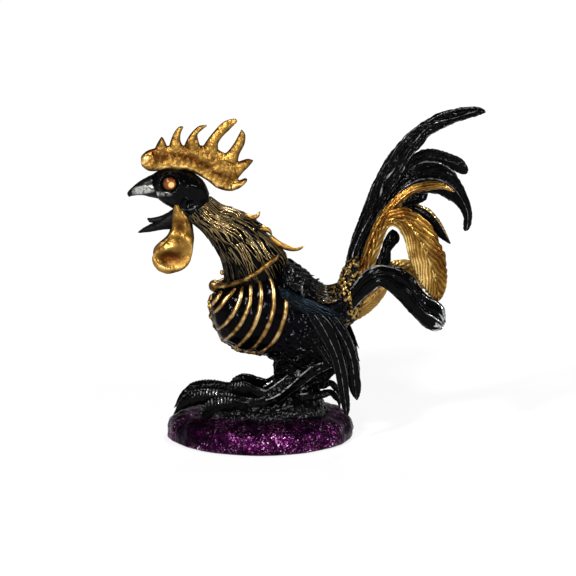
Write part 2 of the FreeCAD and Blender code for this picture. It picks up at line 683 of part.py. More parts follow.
def build():
    """All pieces by name, each cut to sit on the pieces that carry it."""
    base_top = Vector(0, 0, base_height)
    base_chart = Chart(ground_box_px, ground_length, ground_height, ground_joint_px, base_top)
    legs = Chart(leg_box_px, leg_reach, leg_height, foot_joint_px, base_chart.at(*foot_joint_px))
    torso_chart = Chart(torso_box_px, torso_length, torso_height, torso_joint_px, legs.at(*hip_px))
    torso = Torso(torso_chart)
    neck = Chart(neck_box_px, neck_length, neck_height, neck_joint_px, torso_chart.at(*neck_joint_px))
    head = Chart(head_box_px, head_length, head_height, head_joint_px, neck.at(*head_joint_px))
    crest = Chart(comb_box_px, comb_length, comb_height, comb_joint_px, head.at(*comb_joint_px))
    wing = Chart(wing_box_px, wing_length, wing_height, wing_joint_px, torso_chart.at(*wing_joint_px))
    tail = Chart(tail_box_px, tail_length, tail_height, tail_joint_px, torso_chart.at(*tail_joint_px))

    pieces = {}
    pieces["leg_wire_near"] = leg_wire(legs, torso_chart)
    pieces["leg_wire_far"] = twin(pieces["leg_wire_near"])
    pieces["neck_wire"] = middle_wire(torso_chart, neck_wire_px)
    pieces["tail_wire"] = middle_wire(torso_chart, tail_wire_px)
    wires = list(pieces.values())

    def add(name, solid, *carriers):
        pieces[name] = seat(solid, wires + [pieces[carrier] for carrier in carriers])

    add("base_mound", base_mound())
    add("ground_rock", ground_rock(base_chart), "base_mound")
    add("torso_core", torso.solid())
    add("shank_near", shank(legs), "base_mound", "ground_rock", "torso_core")
    add("thigh_near", thigh(legs), "torso_core", "shank_near", "ground_rock")
    stand = ["base_mound", "ground_rock", "shank_near"]
    add("toe_middle_near", toe(legs, toe_middle_px, -toe_splay * middle_splay_share), *stand)
    add("toe_outer_near", toe(legs, toe_outer_px, toe_splay), *stand, "toe_middle_near")
    add("toe_inner_near", toe(legs, toe_inner_px, -toe_splay * inner_splay_share), *stand, "toe_middle_near",
        "toe_outer_near")
    add("hallux_near", toe(legs, hallux_px, 0), *stand, "thigh_near")

    add("hackle_lower", hackle(neck, lower_hackle_px, lower_hackle_shares), "torso_core")
    add("skull", skull(head))
    add("hackle_upper", hackle(neck, upper_hackle_px, upper_hackle_shares), "skull", "hackle_lower",
        "torso_core")
    hackles = ["hackle_lower", "hackle_upper"]
    add("sternum", sternum(torso_chart), "torso_core")
    add("collarbone", collarbone(torso_chart), "torso_core", "sternum", *hackles)
    for number, path_px in enumerate(rib_paths_px, 1):
        carriers = [pieces[name] for name in ("torso_core", "sternum", "collarbone", *hackles)]
        near = seat(rib(torso, path_px), carriers)
        pieces[f"rib_pair_{number}"] = Part.makeCompound([near, twin(near)])

    ribs = [f"rib_pair_{number}" for number in range(1, len(rib_paths_px) + 1)]
    cage = ["torso_core", "sternum", "collarbone", *ribs]
    add("saddle", saddle(torso_chart), *cage, *hackles)
    curls = []
    for path_px in (curl_back_px, curl_middle_px, curl_shoulder_px, curl_breast_px):
        curls.append(seat(curl(neck, path_px), [pieces[name] for name in [*cage, *hackles, "saddle"]]))
    pieces["hackle_curls"] = Part.makeCompound(curls)

    add("beak_upper", upper_beak(head), "skull")
    add("beak_lower", lower_beak(head), "skull", "beak_upper")
    add("tongue", tongue(head), "skull", "beak_upper", "beak_lower")
    add("eye_near", eye(head), "skull")
    add("comb", comb(crest), "skull", "beak_upper")
    add("wattle_near", wattle(head), "skull", "beak_lower", *hackles)

    body = [*cage, *hackles, "saddle"]
    add("wing_shield_near", wing_shield(torso, wing), *body)
    add("secondaries_near", secondaries(torso, wing), *body, "wing_shield_near", "thigh_near")
    beside = [*body, "wing_shield_near", "secondaries_near", "thigh_near", "shank_near", "hallux_near"]
    feathers = []
    for layer, edges_px in enumerate(primary_edges_px):
        carriers = [pieces[name] for name in [*beside, "base_mound"]] + feathers
        feathers.append(seat(primary(torso, wing, edges_px, layer), carriers))
    pieces["primaries_near"] = Part.makeCompound(feathers)

    add("tail_root", tail_root(tail), *body)
    for name in tail_feathers_px:
        done = [other for other in tail_feathers_px if other in pieces]
        add(name, tail_feather(tail, name), "torso_core", "saddle", "tail_root", *done)

    for name in [name for name in pieces if name.endswith("_near") and not name.startswith("leg_wire")]:
        pieces[name.replace("_near", "_far")] = twin(pieces[name])
    return pieces


def main():
    os.makedirs("parts", exist_ok=True)
    for name, shape in build().items():
        shape.exportStep(f"parts/{name}.step")
        print(name, len(shape.Solids), round(shape.Volume), len(shape.Faces), shape.isValid())


main()
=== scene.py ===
import math

import bpy
import numpy as np
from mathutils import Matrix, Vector


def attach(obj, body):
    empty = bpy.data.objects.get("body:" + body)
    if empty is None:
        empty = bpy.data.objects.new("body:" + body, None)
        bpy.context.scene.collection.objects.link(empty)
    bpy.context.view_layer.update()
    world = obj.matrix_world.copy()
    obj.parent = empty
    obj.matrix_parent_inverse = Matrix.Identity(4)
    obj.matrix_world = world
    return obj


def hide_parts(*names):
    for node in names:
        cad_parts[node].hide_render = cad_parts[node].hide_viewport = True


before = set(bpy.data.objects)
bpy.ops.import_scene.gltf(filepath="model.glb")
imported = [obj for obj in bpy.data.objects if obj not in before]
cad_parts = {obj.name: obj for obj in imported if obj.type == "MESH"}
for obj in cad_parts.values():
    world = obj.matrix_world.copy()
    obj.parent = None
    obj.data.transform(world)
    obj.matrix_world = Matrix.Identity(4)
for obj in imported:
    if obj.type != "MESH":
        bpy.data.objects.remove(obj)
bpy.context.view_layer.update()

# The studio: a long lens looks down 15 degrees at the ornament's near side, which is -Y.
# The floor and the surroundings are white, and four lamps give the enamel its glints.
pixel = 0.7
picture_pixels = 576
lens_tilt = math.radians(15)
lens_distance = 2.4
aim = Vector((0.0196, 0, 0.1074))

camera_data = bpy.data.cameras.new("camera")
camera_data.lens = camera_data.sensor_width * lens_distance / (picture_pixels * pixel / 1000)
camera = bpy.data.objects.new("camera", camera_data)
camera.location = aim + Vector((0, -math.cos(lens_tilt), math.sin(lens_tilt))) * lens_distance
camera.rotation_euler = (math.pi / 2 - lens_tilt, 0, 0)
bpy.context.scene.collection.objects.link(camera)
bpy.context.scene.camera = camera
bpy.context.scene.view_settings.view_transform = "Standard"


def lamp(name, place, size, watts):
    """A square soft lamp at place, in metres, that faces the ornament."""
    data = bpy.data.lights.new(name, "AREA")
    data.size = size
    data.energy = watts
    piece = bpy.data.objects.new(name, data)
    piece.location = place
    piece.rotation_euler = (aim - Vector(place)).to_track_quat("-Z", "Y").to_euler()
    piece.visible_camera = False
    bpy.context.scene.collection.objects.link(piece)


lamp("key_lamp", (-0.7, -0.9, 1.1), 0.2, 28)
lamp("side_lamp", (1.0, -0.8, 0.9), 0.16, 16)
lamp("back_lamp", (0.3, 0.8, 1.2), 0.2, 12)
lamp("front_lamp", (-0.35, -1.5, 0.4), 0.14, 12)

horizon_light = 0.34
horizon_height = 0.08
ceiling_light = 0.04
ceiling_height = 0.5
floor_half = 3.5
floor_drop = 0.0002
floor_tone = 0.13
floor_glow = 0.78
lamps_reach = 0.15
far_glow = 0.97
far_reach = 1.8


def ramp(nodes, links, value, low, high, start, end):
    """A socket that goes from start to end while the given one goes from low to high."""
    node = nodes.new("ShaderNodeMapRange")
    links.new(value, node.inputs["Value"])
    for socket, setting in zip(("From Min", "From Max", "To Min", "To Max"), (low, high, start, end)):
        node.inputs[socket].default_value = setting
    return node.outputs[0]


def seen_directly(nodes, links):
    """A share that is 1 for what the camera, a reflection or glass sees, and 0 for light on surfaces."""
    path = nodes.new("ShaderNodeLightPath")
    share = path.outputs["Is Camera Ray"]
    for kind in ("Is Glossy Ray", "Is Transmission Ray"):
        either = nodes.new("ShaderNodeMath")
        either.operation = "MAXIMUM"
        links.new(share, either.inputs[0])
        links.new(path.outputs[kind], either.inputs[1])
        share = either.outputs[0]
    return share


def light_surroundings():
    """A white backdrop all round, which darkens towards the ceiling."""
    world = bpy.data.worlds.new("surroundings")
    world.use_nodes = True
    bpy.context.scene.world = world
    nodes, links = world.node_tree.nodes, world.node_tree.links
    split = nodes.new("ShaderNodeSeparateXYZ")
    links.new(nodes.new("ShaderNodeTexCoord").outputs["Generated"], split.inputs[0])
    strength = ramp(nodes, links, split.outputs["Z"], horizon_height, ceiling_height,
                    horizon_light, ceiling_light)
    background = nodes["Background"]
    background.inputs["Color"].default_value = (1, 1, 1, 1)
    links.new(strength, background.inputs["Strength"])


def lay_floor():
    """A white floor that shows the ornament's soft shadow, and glows more where the lamps reach less."""
    mesh = bpy.data.meshes.new("floor")
    corners = [(x * floor_half, y * floor_half, 0) for x, y in ((-1, -1), (1, -1), (1, 1), (-1, 1))]
    mesh.from_pydata(corners, [], [(0, 1, 2, 3)])
    floor = bpy.data.objects.new("floor", mesh)
    floor.location.z = -floor_drop
    bpy.context.scene.collection.objects.link(floor)
    material = bpy.data.materials.new("white_floor")
    material.use_nodes = True
    nodes, links = material.node_tree.nodes, material.node_tree.links
    shader = nodes["Principled BSDF"]
    shader.inputs["Base Color"].default_value = (floor_tone, floor_tone, floor_tone, 1)
    shader.inputs["Roughness"].default_value = 0.9
    shader.inputs["Emission Color"].default_value = (1, 1, 1, 1)
    reach = nodes.new("ShaderNodeVectorMath")
    reach.operation = "LENGTH"
    links.new(nodes.new("ShaderNodeTexCoord").outputs["Object"], reach.inputs[0])
    level = ramp(nodes, links, reach.outputs["Value"], lamps_reach, far_reach, floor_glow, far_glow)
    glow = nodes.new("ShaderNodeMath")
    glow.operation = "MULTIPLY"
    links.new(level, glow.inputs[1])
    links.new(seen_directly(nodes, links), glow.inputs[0])
    links.new(glow.outputs[0], shader.inputs["Emission Strength"])
    mesh.materials.append(material)


light_surroundings()
lay_floor()

# The base: a low oval mound of cast resin, lumpy by hand, rolled in at its foot.
# It is coated in purple glitter under clear varnish, with painted shade in the hollows and on top, and
# painted glints.
base_length = 132
base_width = 104
base_height = 19
base_profile = [(0, 0), (0, 0.6), (0, 0.95), (0.2, 1), (0.45, 0.99), (0.68, 0.95), (0.85, 0.87), (0.95, 0.72),
                (1, 0.4), (1, 0.02)]
profile_unit = 60
base_rings = 110
base_sides = 420
base_lumps = [(1.3, 11, 0), (0.7, 5, 3)]
base_pebble = 2.6
flake_size = 0.8
glitter_shades = [(0.005, 0.0004, 0.005), (0.022, 0.001, 0.019)]
glitter_flakes = [(0.17, 0.008, 0.14), (0.6, 0.17, 0.5)]
glitter_glint = (0.9, 0.62, 0.84)
glitter_hollow_shade = (0.012, 0.001, 0.014)
chance_steps = (374761393, 668265263, 1103515245)
chance_seed = 12345701
chance_mix = 1274126177


def evenly(table, count):
    """The rows of a table drawn through by a smooth curve, and read off evenly along it."""
    table = np.asarray(table, float)
    last = len(table) - 1
    t = np.linspace(0, last, 24 * last + 1)
    i = np.minimum(t.astype(int), last - 1)
    f = (t - i)[:, None]
    before, start, end, after = (table[np.clip(i + k, 0, last)] for k in (-1, 0, 1, 2))
    fine = start + f / 2 * (end - before + f * (2 * before - 5 * start + 4 * end - after
                                                + f * (3 * (start - end) + after - before)))
    steps = np.linalg.norm(np.diff(fine[:, :4], axis=0), axis=1)
    travel = np.concatenate([[0], np.cumsum(steps)])
    marks = np.linspace(0, travel[-1], count)
    return np.stack([np.interp(marks, travel, column) for column in fine.T], -1)


def chance(corner, seed):
    """A number from 0 to 1 that depends on a whole-numbered corner of space alone."""
    mixed = sum(corner[..., axis] * step for axis, step in enumerate(chance_steps)) + seed * chance_seed
    mixed = (mixed ^ (mixed >> 13)) * chance_mix
    return ((mixed ^ (mixed >> 16)) & 65535) / 65535


def grain(points, size, seed=0):
    """Soft lumps of about that size in millimetres, from -1 to 1, at each point."""
    spot = points / size
    corner = np.floor(spot).astype(np.int64)
    part = spot - corner
    part = part * part * (3 - 2 * part)
    total = 0
    for step in np.ndindex(2, 2, 2):
        weight = np.prod(np.where(step, part, 1 - part), -1)
        total = total + weight * chance(corner + step, seed)
    return total * 2 - 1


def rumpled(points, waves):
    """Soft lumps of several sizes, one on another. A wave is a height, a size and a seed."""
    return sum(height * grain(points, size, seed) for height, size, seed in waves)


def held(value):
    """Values held between 0 and 1."""
    return np.clip(value, 0, 1)


def pebbles(points, size, seed=0):
    """Round knobs set side by side, about that size: 1 on top of a knob, near 0 in the seams."""
    spot = points / size
    corner = np.floor(spot).astype(np.int64)
    nearest = np.full(points.shape[:-1], 9.0)
    for step in np.ndindex(3, 3, 3):
        near = corner + (np.array(step) - 1)
        middle = near + np.stack([chance(near, seed + k) for k in range(3)], -1)
        nearest = np.minimum(nearest, np.sum((spot - middle) ** 2, -1))
    return held(1 - nearest * 1.4)


def angles(count):
    """Even steps round a full turn."""
    return np.linspace(0, 2 * math.pi, count, endpoint=False)


def unit(vectors):
    """The same directions with a length of 1."""
    return vectors / (np.linalg.norm(vectors, axis=-1, keepdims=True) + 1e-9)


def outward(grid):
    """The outward direction at each point of a closed tube of rings."""
    around = np.roll(grid, -1, -2) - np.roll(grid, 1, -2)
    normal = unit(np.cross(around, np.gradient(grid, axis=-3)))
    away = grid - grid.mean(-2, keepdims=True)
    return normal * np.sign(np.sum(normal * away) + 1e-9)


def pushed(rings, relief):
    """Rings moved outward by relief, in millimetres."""
    return rings + outward(rings) * np.asarray(relief)[..., None]


def shell(grids, ridge=None):
    """Closed skins over tubes of rings, shaped (tubes, rings, points, 3), each end drawn to its middle."""
    grids = np.asarray(grids)
    if grids.ndim == 3:
        grids = grids[None]
    tubes, rings, sides = grids.shape[:3]
    ridge = np.zeros(grids.shape[:3]) if ridge is None else np.broadcast_to(ridge, grids.shape[:3])
    ends = grids[:, [0, -1]].mean(2)
    points = np.concatenate([grids.reshape(-1, 3), ends.reshape(-1, 3)])
    heights = np.concatenate([ridge.reshape(-1), ridge[:, [0, -1]].mean(2).reshape(-1)])
    index = np.arange(tubes * rings * sides).reshape(tubes, rings, sides)
    low, high = index[:, :-1], index[:, 1:]
    quads = np.stack([low, np.roll(low, -1, 2), np.roll(high, -1, 2), high], -1).reshape(-1, 4)
    first, last = index[:, 0], index[:, -1]
    caps = tubes * rings * sides + np.arange(tubes * 2).reshape(tubes, 2)
    start = np.stack([np.roll(first, -1, 1), first, np.broadcast_to(caps[:, :1], first.shape)], -1)
    end = np.stack([last, np.roll(last, -1, 1), np.broadcast_to(caps[:, 1:], last.shape)], -1)
    tris = np.concatenate([start, end]).reshape(-1, 3)
    a, b, c = (points[quads[:, k]] for k in (0, 1, 2))
    if np.sum(a * np.cross(b, c)) < 0:
        quads, tris = quads[:, ::-1], tris[:, ::-1]
    return points, quads, tris, heights


def joined(parts):
    """Several skins as one."""
    starts = np.cumsum([0] + [len(part[0]) for part in parts[:-1]])
    moved = [(points, quads + start, tris + start, ridge)
             for (points, quads, tris, ridge), start in zip(parts, starts)]
    return tuple(np.concatenate(fields) for fields in zip(*moved))


def mesh_of(name, skin, scale=0.001):
    """A mesh of a skin in millimetres, with its ridge values, which hold heights and some painted light and
    shade, for the paint to follow.
    """
    points, quads, tris, ridge = skin
    mesh = bpy.data.meshes.new(name)
    mesh.vertices.add(len(points))
    mesh.vertices.foreach_set("co", (points * scale).astype(np.float32).ravel())
    corners = np.concatenate([quads.ravel(), tris.ravel()]).astype(np.int32)
    mesh.loops.add(len(corners))
    mesh.loops.foreach_set("vertex_index", corners)
    starts = np.concatenate([np.arange(len(quads)) * 4, len(quads) * 4 + np.arange(len(tris)) * 3])
    mesh.polygons.add(len(starts))
    mesh.polygons.foreach_set("loop_start", starts.astype(np.int32))
    mesh.update(calc_edges=True)
    mesh.polygons.foreach_set("use_smooth", np.ones(len(starts), bool))
    mesh.attributes.new("ridge", "FLOAT", "POINT").data.foreach_set("value", ridge.astype(np.float32))
    return mesh


def cast(node, skin, finish):
    """One cast piece, painted, in the place of its CAD node."""
    mesh = mesh_of(node + "_cast", skin)
    mesh.materials.append(finish)
    piece = bpy.data.objects.new(node + "_cast", mesh)
    bpy.context.scene.collection.objects.link(piece)
    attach(piece, "root")
    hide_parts(node)


class Paint:
    """A paint recipe: one shader, and the patterns that lead to it."""

    def __init__(self, name, **settings):
        self.material = bpy.data.materials.new(name)
        self.material.use_nodes = True
        self.nodes = self.material.node_tree.nodes
        self.links = self.material.node_tree.links
        self.shader = self.nodes["Principled BSDF"]
        self.place = self.nodes.new("ShaderNodeTexCoord").outputs["Object"]
        self.finish(**settings)

    def feed(self, socket, value):
        if isinstance(value, bpy.types.NodeSocket):
            self.links.new(value, socket)
        elif isinstance(value, tuple) and len(value) == 3 and socket.type == "RGBA":
            socket.default_value = (*value, 1)
        else:
            socket.default_value = value

    def ridge(self):
        """A mask from 0 to 1 on each point: mostly how far it stands up, 0 in a seam and 1 on a crest, with
        painted light and shade worked in on some pieces.
        """
        node = self.nodes.new("ShaderNodeAttribute")
        node.attribute_name = "ridge"
        return node.outputs["Fac"]

    def noise(self, size, detail=3, roughness=0.6):
        node = self.nodes.new("ShaderNodeTexNoise")
        node.inputs["Scale"].default_value = 1000 / size
        node.inputs["Detail"].default_value = detail
        node.inputs["Roughness"].default_value = roughness
        self.links.new(self.place, node.inputs["Vector"])
        return node.outputs["Fac"]

    def flakes(self, size):
        """Flat specks of about that size: three random numbers for each."""
        node = self.nodes.new("ShaderNodeTexVoronoi")
        node.inputs["Scale"].default_value = 1000 / size
        self.links.new(self.place, node.inputs["Vector"])
        return self.split(node.outputs["Color"], "ShaderNodeSeparateColor")

    def split(self, value, kind):
        """The three numbers of a colour or of a place."""
        node = self.nodes.new(kind)
        self.links.new(value, node.inputs[0])
        return node.outputs[:]

    def calc(self, operation, a, b):
        node = self.nodes.new("ShaderNodeMath")
        node.operation = operation
        self.feed(node.inputs[0], a)
        self.feed(node.inputs[1], b)
        return node.outputs[0]

    def span(self, value, low, high, start=0.0, end=1.0):
        """A value that goes from start to end while the given one goes from low to high."""
        return ramp(self.nodes, self.links, value, low, high, start, end)

    def rubbed(self, crest, size, patches, detail=4, roughness=0.6):
        """The rubbed share: it grows over the span crest of the ridge, in patches of about that size; some
        recipes use it for painted glints.
        """
        return self.calc("MULTIPLY", self.span(self.ridge(), *crest),
                         self.span(self.noise(size, detail, roughness), *patches))

    def blend(self, share, a, b):
        node = self.nodes.new("ShaderNodeMix")
        node.data_type = "RGBA"
        self.feed(node.inputs["Factor"], share)
        self.feed(node.inputs[6], a)
        self.feed(node.inputs[7], b)
        return node.outputs[2]

    def bump(self, height, depth, strength=1.0):
        """Fine relief: height from 0 to 1 stands for depth in millimetres."""
        node = self.nodes.new("ShaderNodeBump")
        node.inputs["Strength"].default_value = strength
        node.inputs["Distance"].default_value = depth / 1000
        self.links.new(height, node.inputs["Height"])
        before = self.shader.inputs["Normal"].links
        if before:
            self.links.new(before[0].from_socket, node.inputs["Normal"])
        self.links.new(node.outputs[0], self.shader.inputs["Normal"])

    def finish(self, **sockets):
        """Values or patterns for the shader's sockets, whose names have underscores for spaces."""
        for socket, value in sockets.items():
            self.feed(self.shader.inputs[socket.replace("_", " ").title().replace("Ior", "IOR")], value)
        return self.material


def glitter_paint():
    paint = Paint("purple_glitter", metallic=0.95, specular_ior_level=0.1)
    kind, tint, gleam = paint.flakes(flake_size)
    patches = paint.noise(17, 5)
    shade = paint.blend(paint.span(patches, 0.36, 0.66), *glitter_shades)
    # Brighter flakes in patches: partly the glitter's own colours, partly painted sparkle.
    lit = paint.calc("MULTIPLY", paint.span(kind, 0.68, 1), paint.span(patches, 0.42, 0.68))
    tone = paint.blend(lit, shade, paint.blend(tint, *glitter_flakes))
    # Painted glints on a few flakes.
    glints = paint.calc("MULTIPLY", paint.span(gleam, 0.95, 0.99), paint.span(patches, 0.44, 0.6))
    tone = paint.blend(glints, tone, glitter_glint)
    # Painted shade where the ridge is low: in the hollows and over the top of the mound.
    tone = paint.blend(paint.span(paint.ridge(), 0, 0.5), glitter_hollow_shade, tone)
    paint.bump(kind, 0.35, 0.8)
    paint.bump(paint.noise(2.2, 3), 0.6, 0.6)
    return paint.finish(base_color=tone, roughness=paint.span(tint, 0, 1, 0.22, 0.55))


def base_mound():
    rows = [(z * base_height / profile_unit, reach, 0, 0) for z, reach in base_profile]
    level, reach = (column[:, None] for column in evenly(rows, base_rings).T[:2])
    turn = angles(base_sides)
    rings = np.stack([base_length / 2 * reach * np.cos(turn), base_width / 2 * reach * np.sin(turn),
                      np.broadcast_to(level * profile_unit, (base_rings, base_sides))], -1)
    lumps = rumpled(rings, base_lumps) + 0.35 * pebbles(rings, base_pebble, 5)
    free = held(rings[..., 2] / 3)
    rings = pushed(rings, (lumps - 0.4) * free)
    # The ridge drops in the hollows and over the top, where the glitter paint puts painted shade.
    top = held(rings[..., 2] / base_height * 5 - 3.9)
    return shell(rings, held(0.55 + lumps * 0.4 - 0.3 * top))


cast("base_mound", base_mound(), glitter_paint())

# The ground: a rough black rock under the feet, cast on the mound and painted a gloss black.
# Its knobs are paler where they stand up: partly rubbed wear, partly painted glints.
middle_column = 260
floor_row = 436.2
row_height = 0.7247
sight_lean = 0.268
ground_top = [(198, 412, 0.3), (208, 404, 0.66), (222, 401, 0.84), (240, 403, 0.92), (258, 400, 0.98),
              (275, 401, 0.94), (290, 396, 1), (306, 394, 0.92), (319, 400, 0.7), (328, 412, 0.25)]
ground_width = 54
ground_foot = 12
rock_rings = 60
rock_sides = 48
rock_knob = 5.5
rock_pebble = 2.4
rock_lumps = [(0.8, 9, 4), (0.25, 1.8, 6)]
enamel_black = (0.0008, 0.0008, 0.001)


def place(u, v, depth):
    """Millimetres for a picture column and row, on the plane that lies depth beyond the middle."""
    u, v, depth = np.broadcast_arrays(u, v, depth)
    height = (floor_row - v) * row_height - depth * sight_lean
    return np.stack([(u - middle_column) * pixel, depth, height], -1)


def seen(points):
    """Picture column and row of points, as the near side shows them."""
    height = points[..., 2] - np.abs(points[..., 1]) * sight_lean
    return points[..., 0] / pixel + middle_column, floor_row - height / row_height


def flowing(skin):
    """A skin's points with their outward directions, worked out again."""
    mesh = mesh_of("flow", skin, 1)
    normals = np.empty(len(skin[0]) * 3, np.float32)
    mesh.vertices.foreach_get("normal", normals)
    bpy.data.meshes.remove(mesh)
    return normals.reshape(-1, 3)


def fused(parts, voxel, passes):
    """Skins that overlap, melted into one and smoothed."""
    mesh = mesh_of("melt", joined(parts), 1)
    piece = bpy.data.objects.new("melt", mesh)
    bpy.context.scene.collection.objects.link(piece)
    remesh = piece.modifiers.new("remesh", "REMESH")
    remesh.mode = "VOXEL"
    remesh.voxel_size = voxel
    smooth = piece.modifiers.new("smooth", "SMOOTH")
    smooth.iterations = passes
    done = piece.evaluated_get(bpy.context.evaluated_depsgraph_get()).to_mesh()
    points = np.empty(len(done.vertices) * 3, np.float32)
    done.vertices.foreach_get("co", points)
    corners = np.empty(len(done.loops), np.int32)
    done.loops.foreach_get("vertex_index", corners)
    bpy.data.objects.remove(piece)
    bpy.data.meshes.remove(mesh)
    points = points.reshape(-1, 3).astype(float)
    return points, corners.reshape(-1, 4), np.empty((0, 3), int), np.zeros(len(points))


def raised(skin, relief, ridge=None):
    """A skin whose points are moved outward by relief, in millimetres."""
    points, quads, tris, heights = skin
    points = points + flowing(skin) * relief[:, None]
    return points, quads, tris, heights if ridge is None else held(ridge)


def rock_paint():
    paint = Paint("black_rock", specular_ior_level=0.1)
    # Paler where the ridge is high: partly rubbed wear, partly painted glints.
    wear_and_glint = paint.rubbed((0.55, 0.95), 2, (0.54, 0.66))
    paint.bump(paint.noise(1.8, 5, 0.7), 0.9, 1.0)
    return paint.finish(base_color=paint.blend(wear_and_glint, enamel_black, (0.26, 0.26, 0.27)), metallic=wear_and_glint,
                        roughness=paint.span(paint.noise(3), 0.3, 0.7, 0.05, 0.18))


def ground_rock():
    u, v, share, _ = evenly([(*row, 0) for row in ground_top], rock_rings).T
    crest = place(u, v, 0)
    turn = angles(rock_sides)
    half = (crest[:, 2:] - ground_foot) / 2
    rings = np.stack([np.broadcast_to(crest[:, :1], (rock_rings, rock_sides)),
                      ground_width / 2 * share[:, None] * np.sin(turn),
                      ground_foot + half * (1 + np.cos(turn))], -1)
    rock = fused([shell(rings)], 0.8, 2)
    knobs = pebbles(rock[0], rock_knob, 11)
    fine = pebbles(rock[0], rock_pebble, 12)
    return raised(rock, knobs * 1.3 + fine * 0.9 + rumpled(rock[0], rock_lumps) - 1, knobs * 0.6 + fine * 0.5)


cast("ground_rock", ground_rock(), rock_paint())

# The legs: thighs in ragged feathers, bare shanks with long tendons, and four scaled toes a side.
# They are cast resin in gloss black, rubbed silver-grey along the tendons and the scales' edges, partly as
# painted glints.
leg_depth = -12
toe_thickness = 7.4
toe_splay = 12
shank_rows = [(261, 393, 270, 405, 1.1), (270, 388, 280, 401, 1), (283, 378, 294, 391, 0.86),
              (298, 367, 309, 380, 0.82), (311, 359, 322, 372, 1), (322, 356, 332, 367, 0.8)]
shank_thickness = 8
thigh_rows = [(285, 326, 318, 320, 0.8), (281, 338, 328, 334, 1), (277, 351, 335, 348, 0.95),
              (275, 366, 338, 364, 0.6), (275, 378, 331, 378, 0.45), (272, 388, 322, 389, 0.4),
              (277, 397, 319, 397, 0.3)]
thigh_depths = [-12, -12, -11.4, -9.6, -8.2, -7.9, -7.9]
thigh_thickness = 20
toe_rows = {
    "toe_middle": [(274, 392, 279, 404), (258, 397, 260, 408), (241, 395, 242, 409), (223, 391, 224, 405),
                   (206, 389, 208, 404), (192, 391, 195, 406), (182, 398, 188, 409), (176, 407, 182, 411),
                   (172, 415, 173, 416)],
    "toe_outer": [(265, 400, 268, 411), (248, 401, 250, 412), (232, 397, 236, 413), (218, 397, 224, 416),
                  (207, 401, 215, 417), (202, 410, 209, 419), (200, 424, 202, 424)],
    "toe_inner": [(266, 389, 269, 401), (257, 387, 259, 399), (247, 382, 249, 396), (237, 382, 237, 396),
                  (229, 388, 231, 399), (223, 402, 225, 404)],
    "hallux": [(300, 392, 302, 405), (312, 392, 313, 401), (322, 391, 323, 398), (331, 390, 330, 396),
               (338, 394, 334, 399), (341, 402, 338, 404), (340, 412, 339, 412)],
}
toe_splays = {"toe_middle": -0.33, "toe_outer": 1, "toe_inner": -0.8, "hallux": 0}
toe_swell = [1.1, 1, 1.12, 1.1, 1.2, 1.1, 0.9, 0.7, 0.45, 0.12]
toe_scale = 2.1
toe_pad = 8.5
toe_lumps = [(0.55, 5, 8), (0.25, 1.8, 7)]
claw_start = 0.82
tendon_turn = 5.6
shank_tendons = 5
shank_scale = 1.8
thigh_tufts = (70, (0, 0), (0.8, 1), 3), (0.24, 4.4, 3), dict(sway=0.04, lift=2.0, drift=0.05, seed=4)
thigh_swirls = [(2, 8, 3), (0.5, 3, 9)]
brushed_golds = [(0.13, 0.075, 0.022), (0.52, 0.38, 0.17)]
spread_steps = [(0.7548776662, 0.37), (0.5698402910, 0.61)]
end_step = 0.03


def tapered(edges, shares, tips):
    """Rows of edges with their shares of the thickness, of which the last few belong to the tip."""
    shares = shares[:len(edges) - tips] + shares[-tips:]
    return [(*edge, share) for edge, share in zip(edges, shares)]


def edges_of(rows, depths, spacing):
    """Even steps along rows: both edges in millimetres, the share of the thickness and the way gone."""
    rows = np.asarray(rows, float)
    middle = (rows[:, :2] + rows[:, 2:4]) / 2
    length = np.sum(np.linalg.norm(np.diff(middle, axis=0), axis=1)) * pixel
    count = max(int(length / spacing), 12)
    table = np.column_stack([rows, np.broadcast_to(depths, len(rows))])
    ax, ay, bx, by, share, depth = evenly(table, count).T
    a, b = place(ax, ay, depth)[:, None], place(bx, by, depth)[:, None]
    return a, b, share[:, None], np.linspace(0, length, count)[:, None]


def form(rows, thickness, depths, spacing, sides):
    """Rings between two edges in the picture. A row is a point of each edge and a share of the thickness."""
    a, b, share, along = edges_of(rows, depths, spacing)
    turn = angles(sides)
    rings = (a + b) / 2 + (a - b) / 2 * np.cos(turn)[:, None]
    rings[..., 1] += thickness / 2 * share * np.sin(turn)
    return rings, along, turn


def crests(value):
    """Rounded ridges, one for each whole number: 1 on a crest, 0 in a seam."""
    return (0.5 + 0.5 * np.cos(2 * math.pi * value)) ** 0.7


def bell(distance, reach, power=2):
    """1 at no distance, which falls off to near 0 at about twice the reach."""
    return np.exp(-np.abs(distance / reach) ** power)


def far_twin(skin):
    """The far side's copy of a near skin."""
    points, quads, tris, ridge = skin
    return points * (1, -1, 1), quads[:, ::-1], tris[:, ::-1], ridge


def cast_pair(name, skin, finish):
    cast(name + "_near", skin, finish)
    cast(name + "_far", far_twin(skin), finish)


def gloss_black(name, tint=enamel_black, wear_and_glint=(0.16, 0.16, 0.17), low=0.8, high=1.0, rough=0.16, gold=0,
                patch=4, ease=0.0, gloss=0.055, grit=0.22):
    """Gloss black enamel over resin, graphite-grey along what stands up as wear and painted glints, or
    brushed with gold there.
    """
    paint = Paint(name, specular_ior_level=gloss)
    # The crests' grey is partly rubbed wear and partly painted glints; with gold it is gold dry-brushing.
    share = paint.rubbed((low, high), patch, (0.4 - ease, 0.6 - ease / 3))
    if gold:
        share = paint.span(paint.calc("MULTIPLY", share, gold), 0.25, 0.8)
        wear_and_glint = paint.blend(paint.noise(4, 2), *brushed_golds)
    paint.bump(paint.noise(1.3, 4), grit, 0.6)
    return paint.finish(base_color=paint.blend(share, tint, wear_and_glint),
                        roughness=paint.span(paint.noise(5, 3), 0.3, 0.7, rough - 0.06, rough + 0.1),
                        metallic=paint.span(share, 0, 1, 0, 0.9 if gold else 0.95))


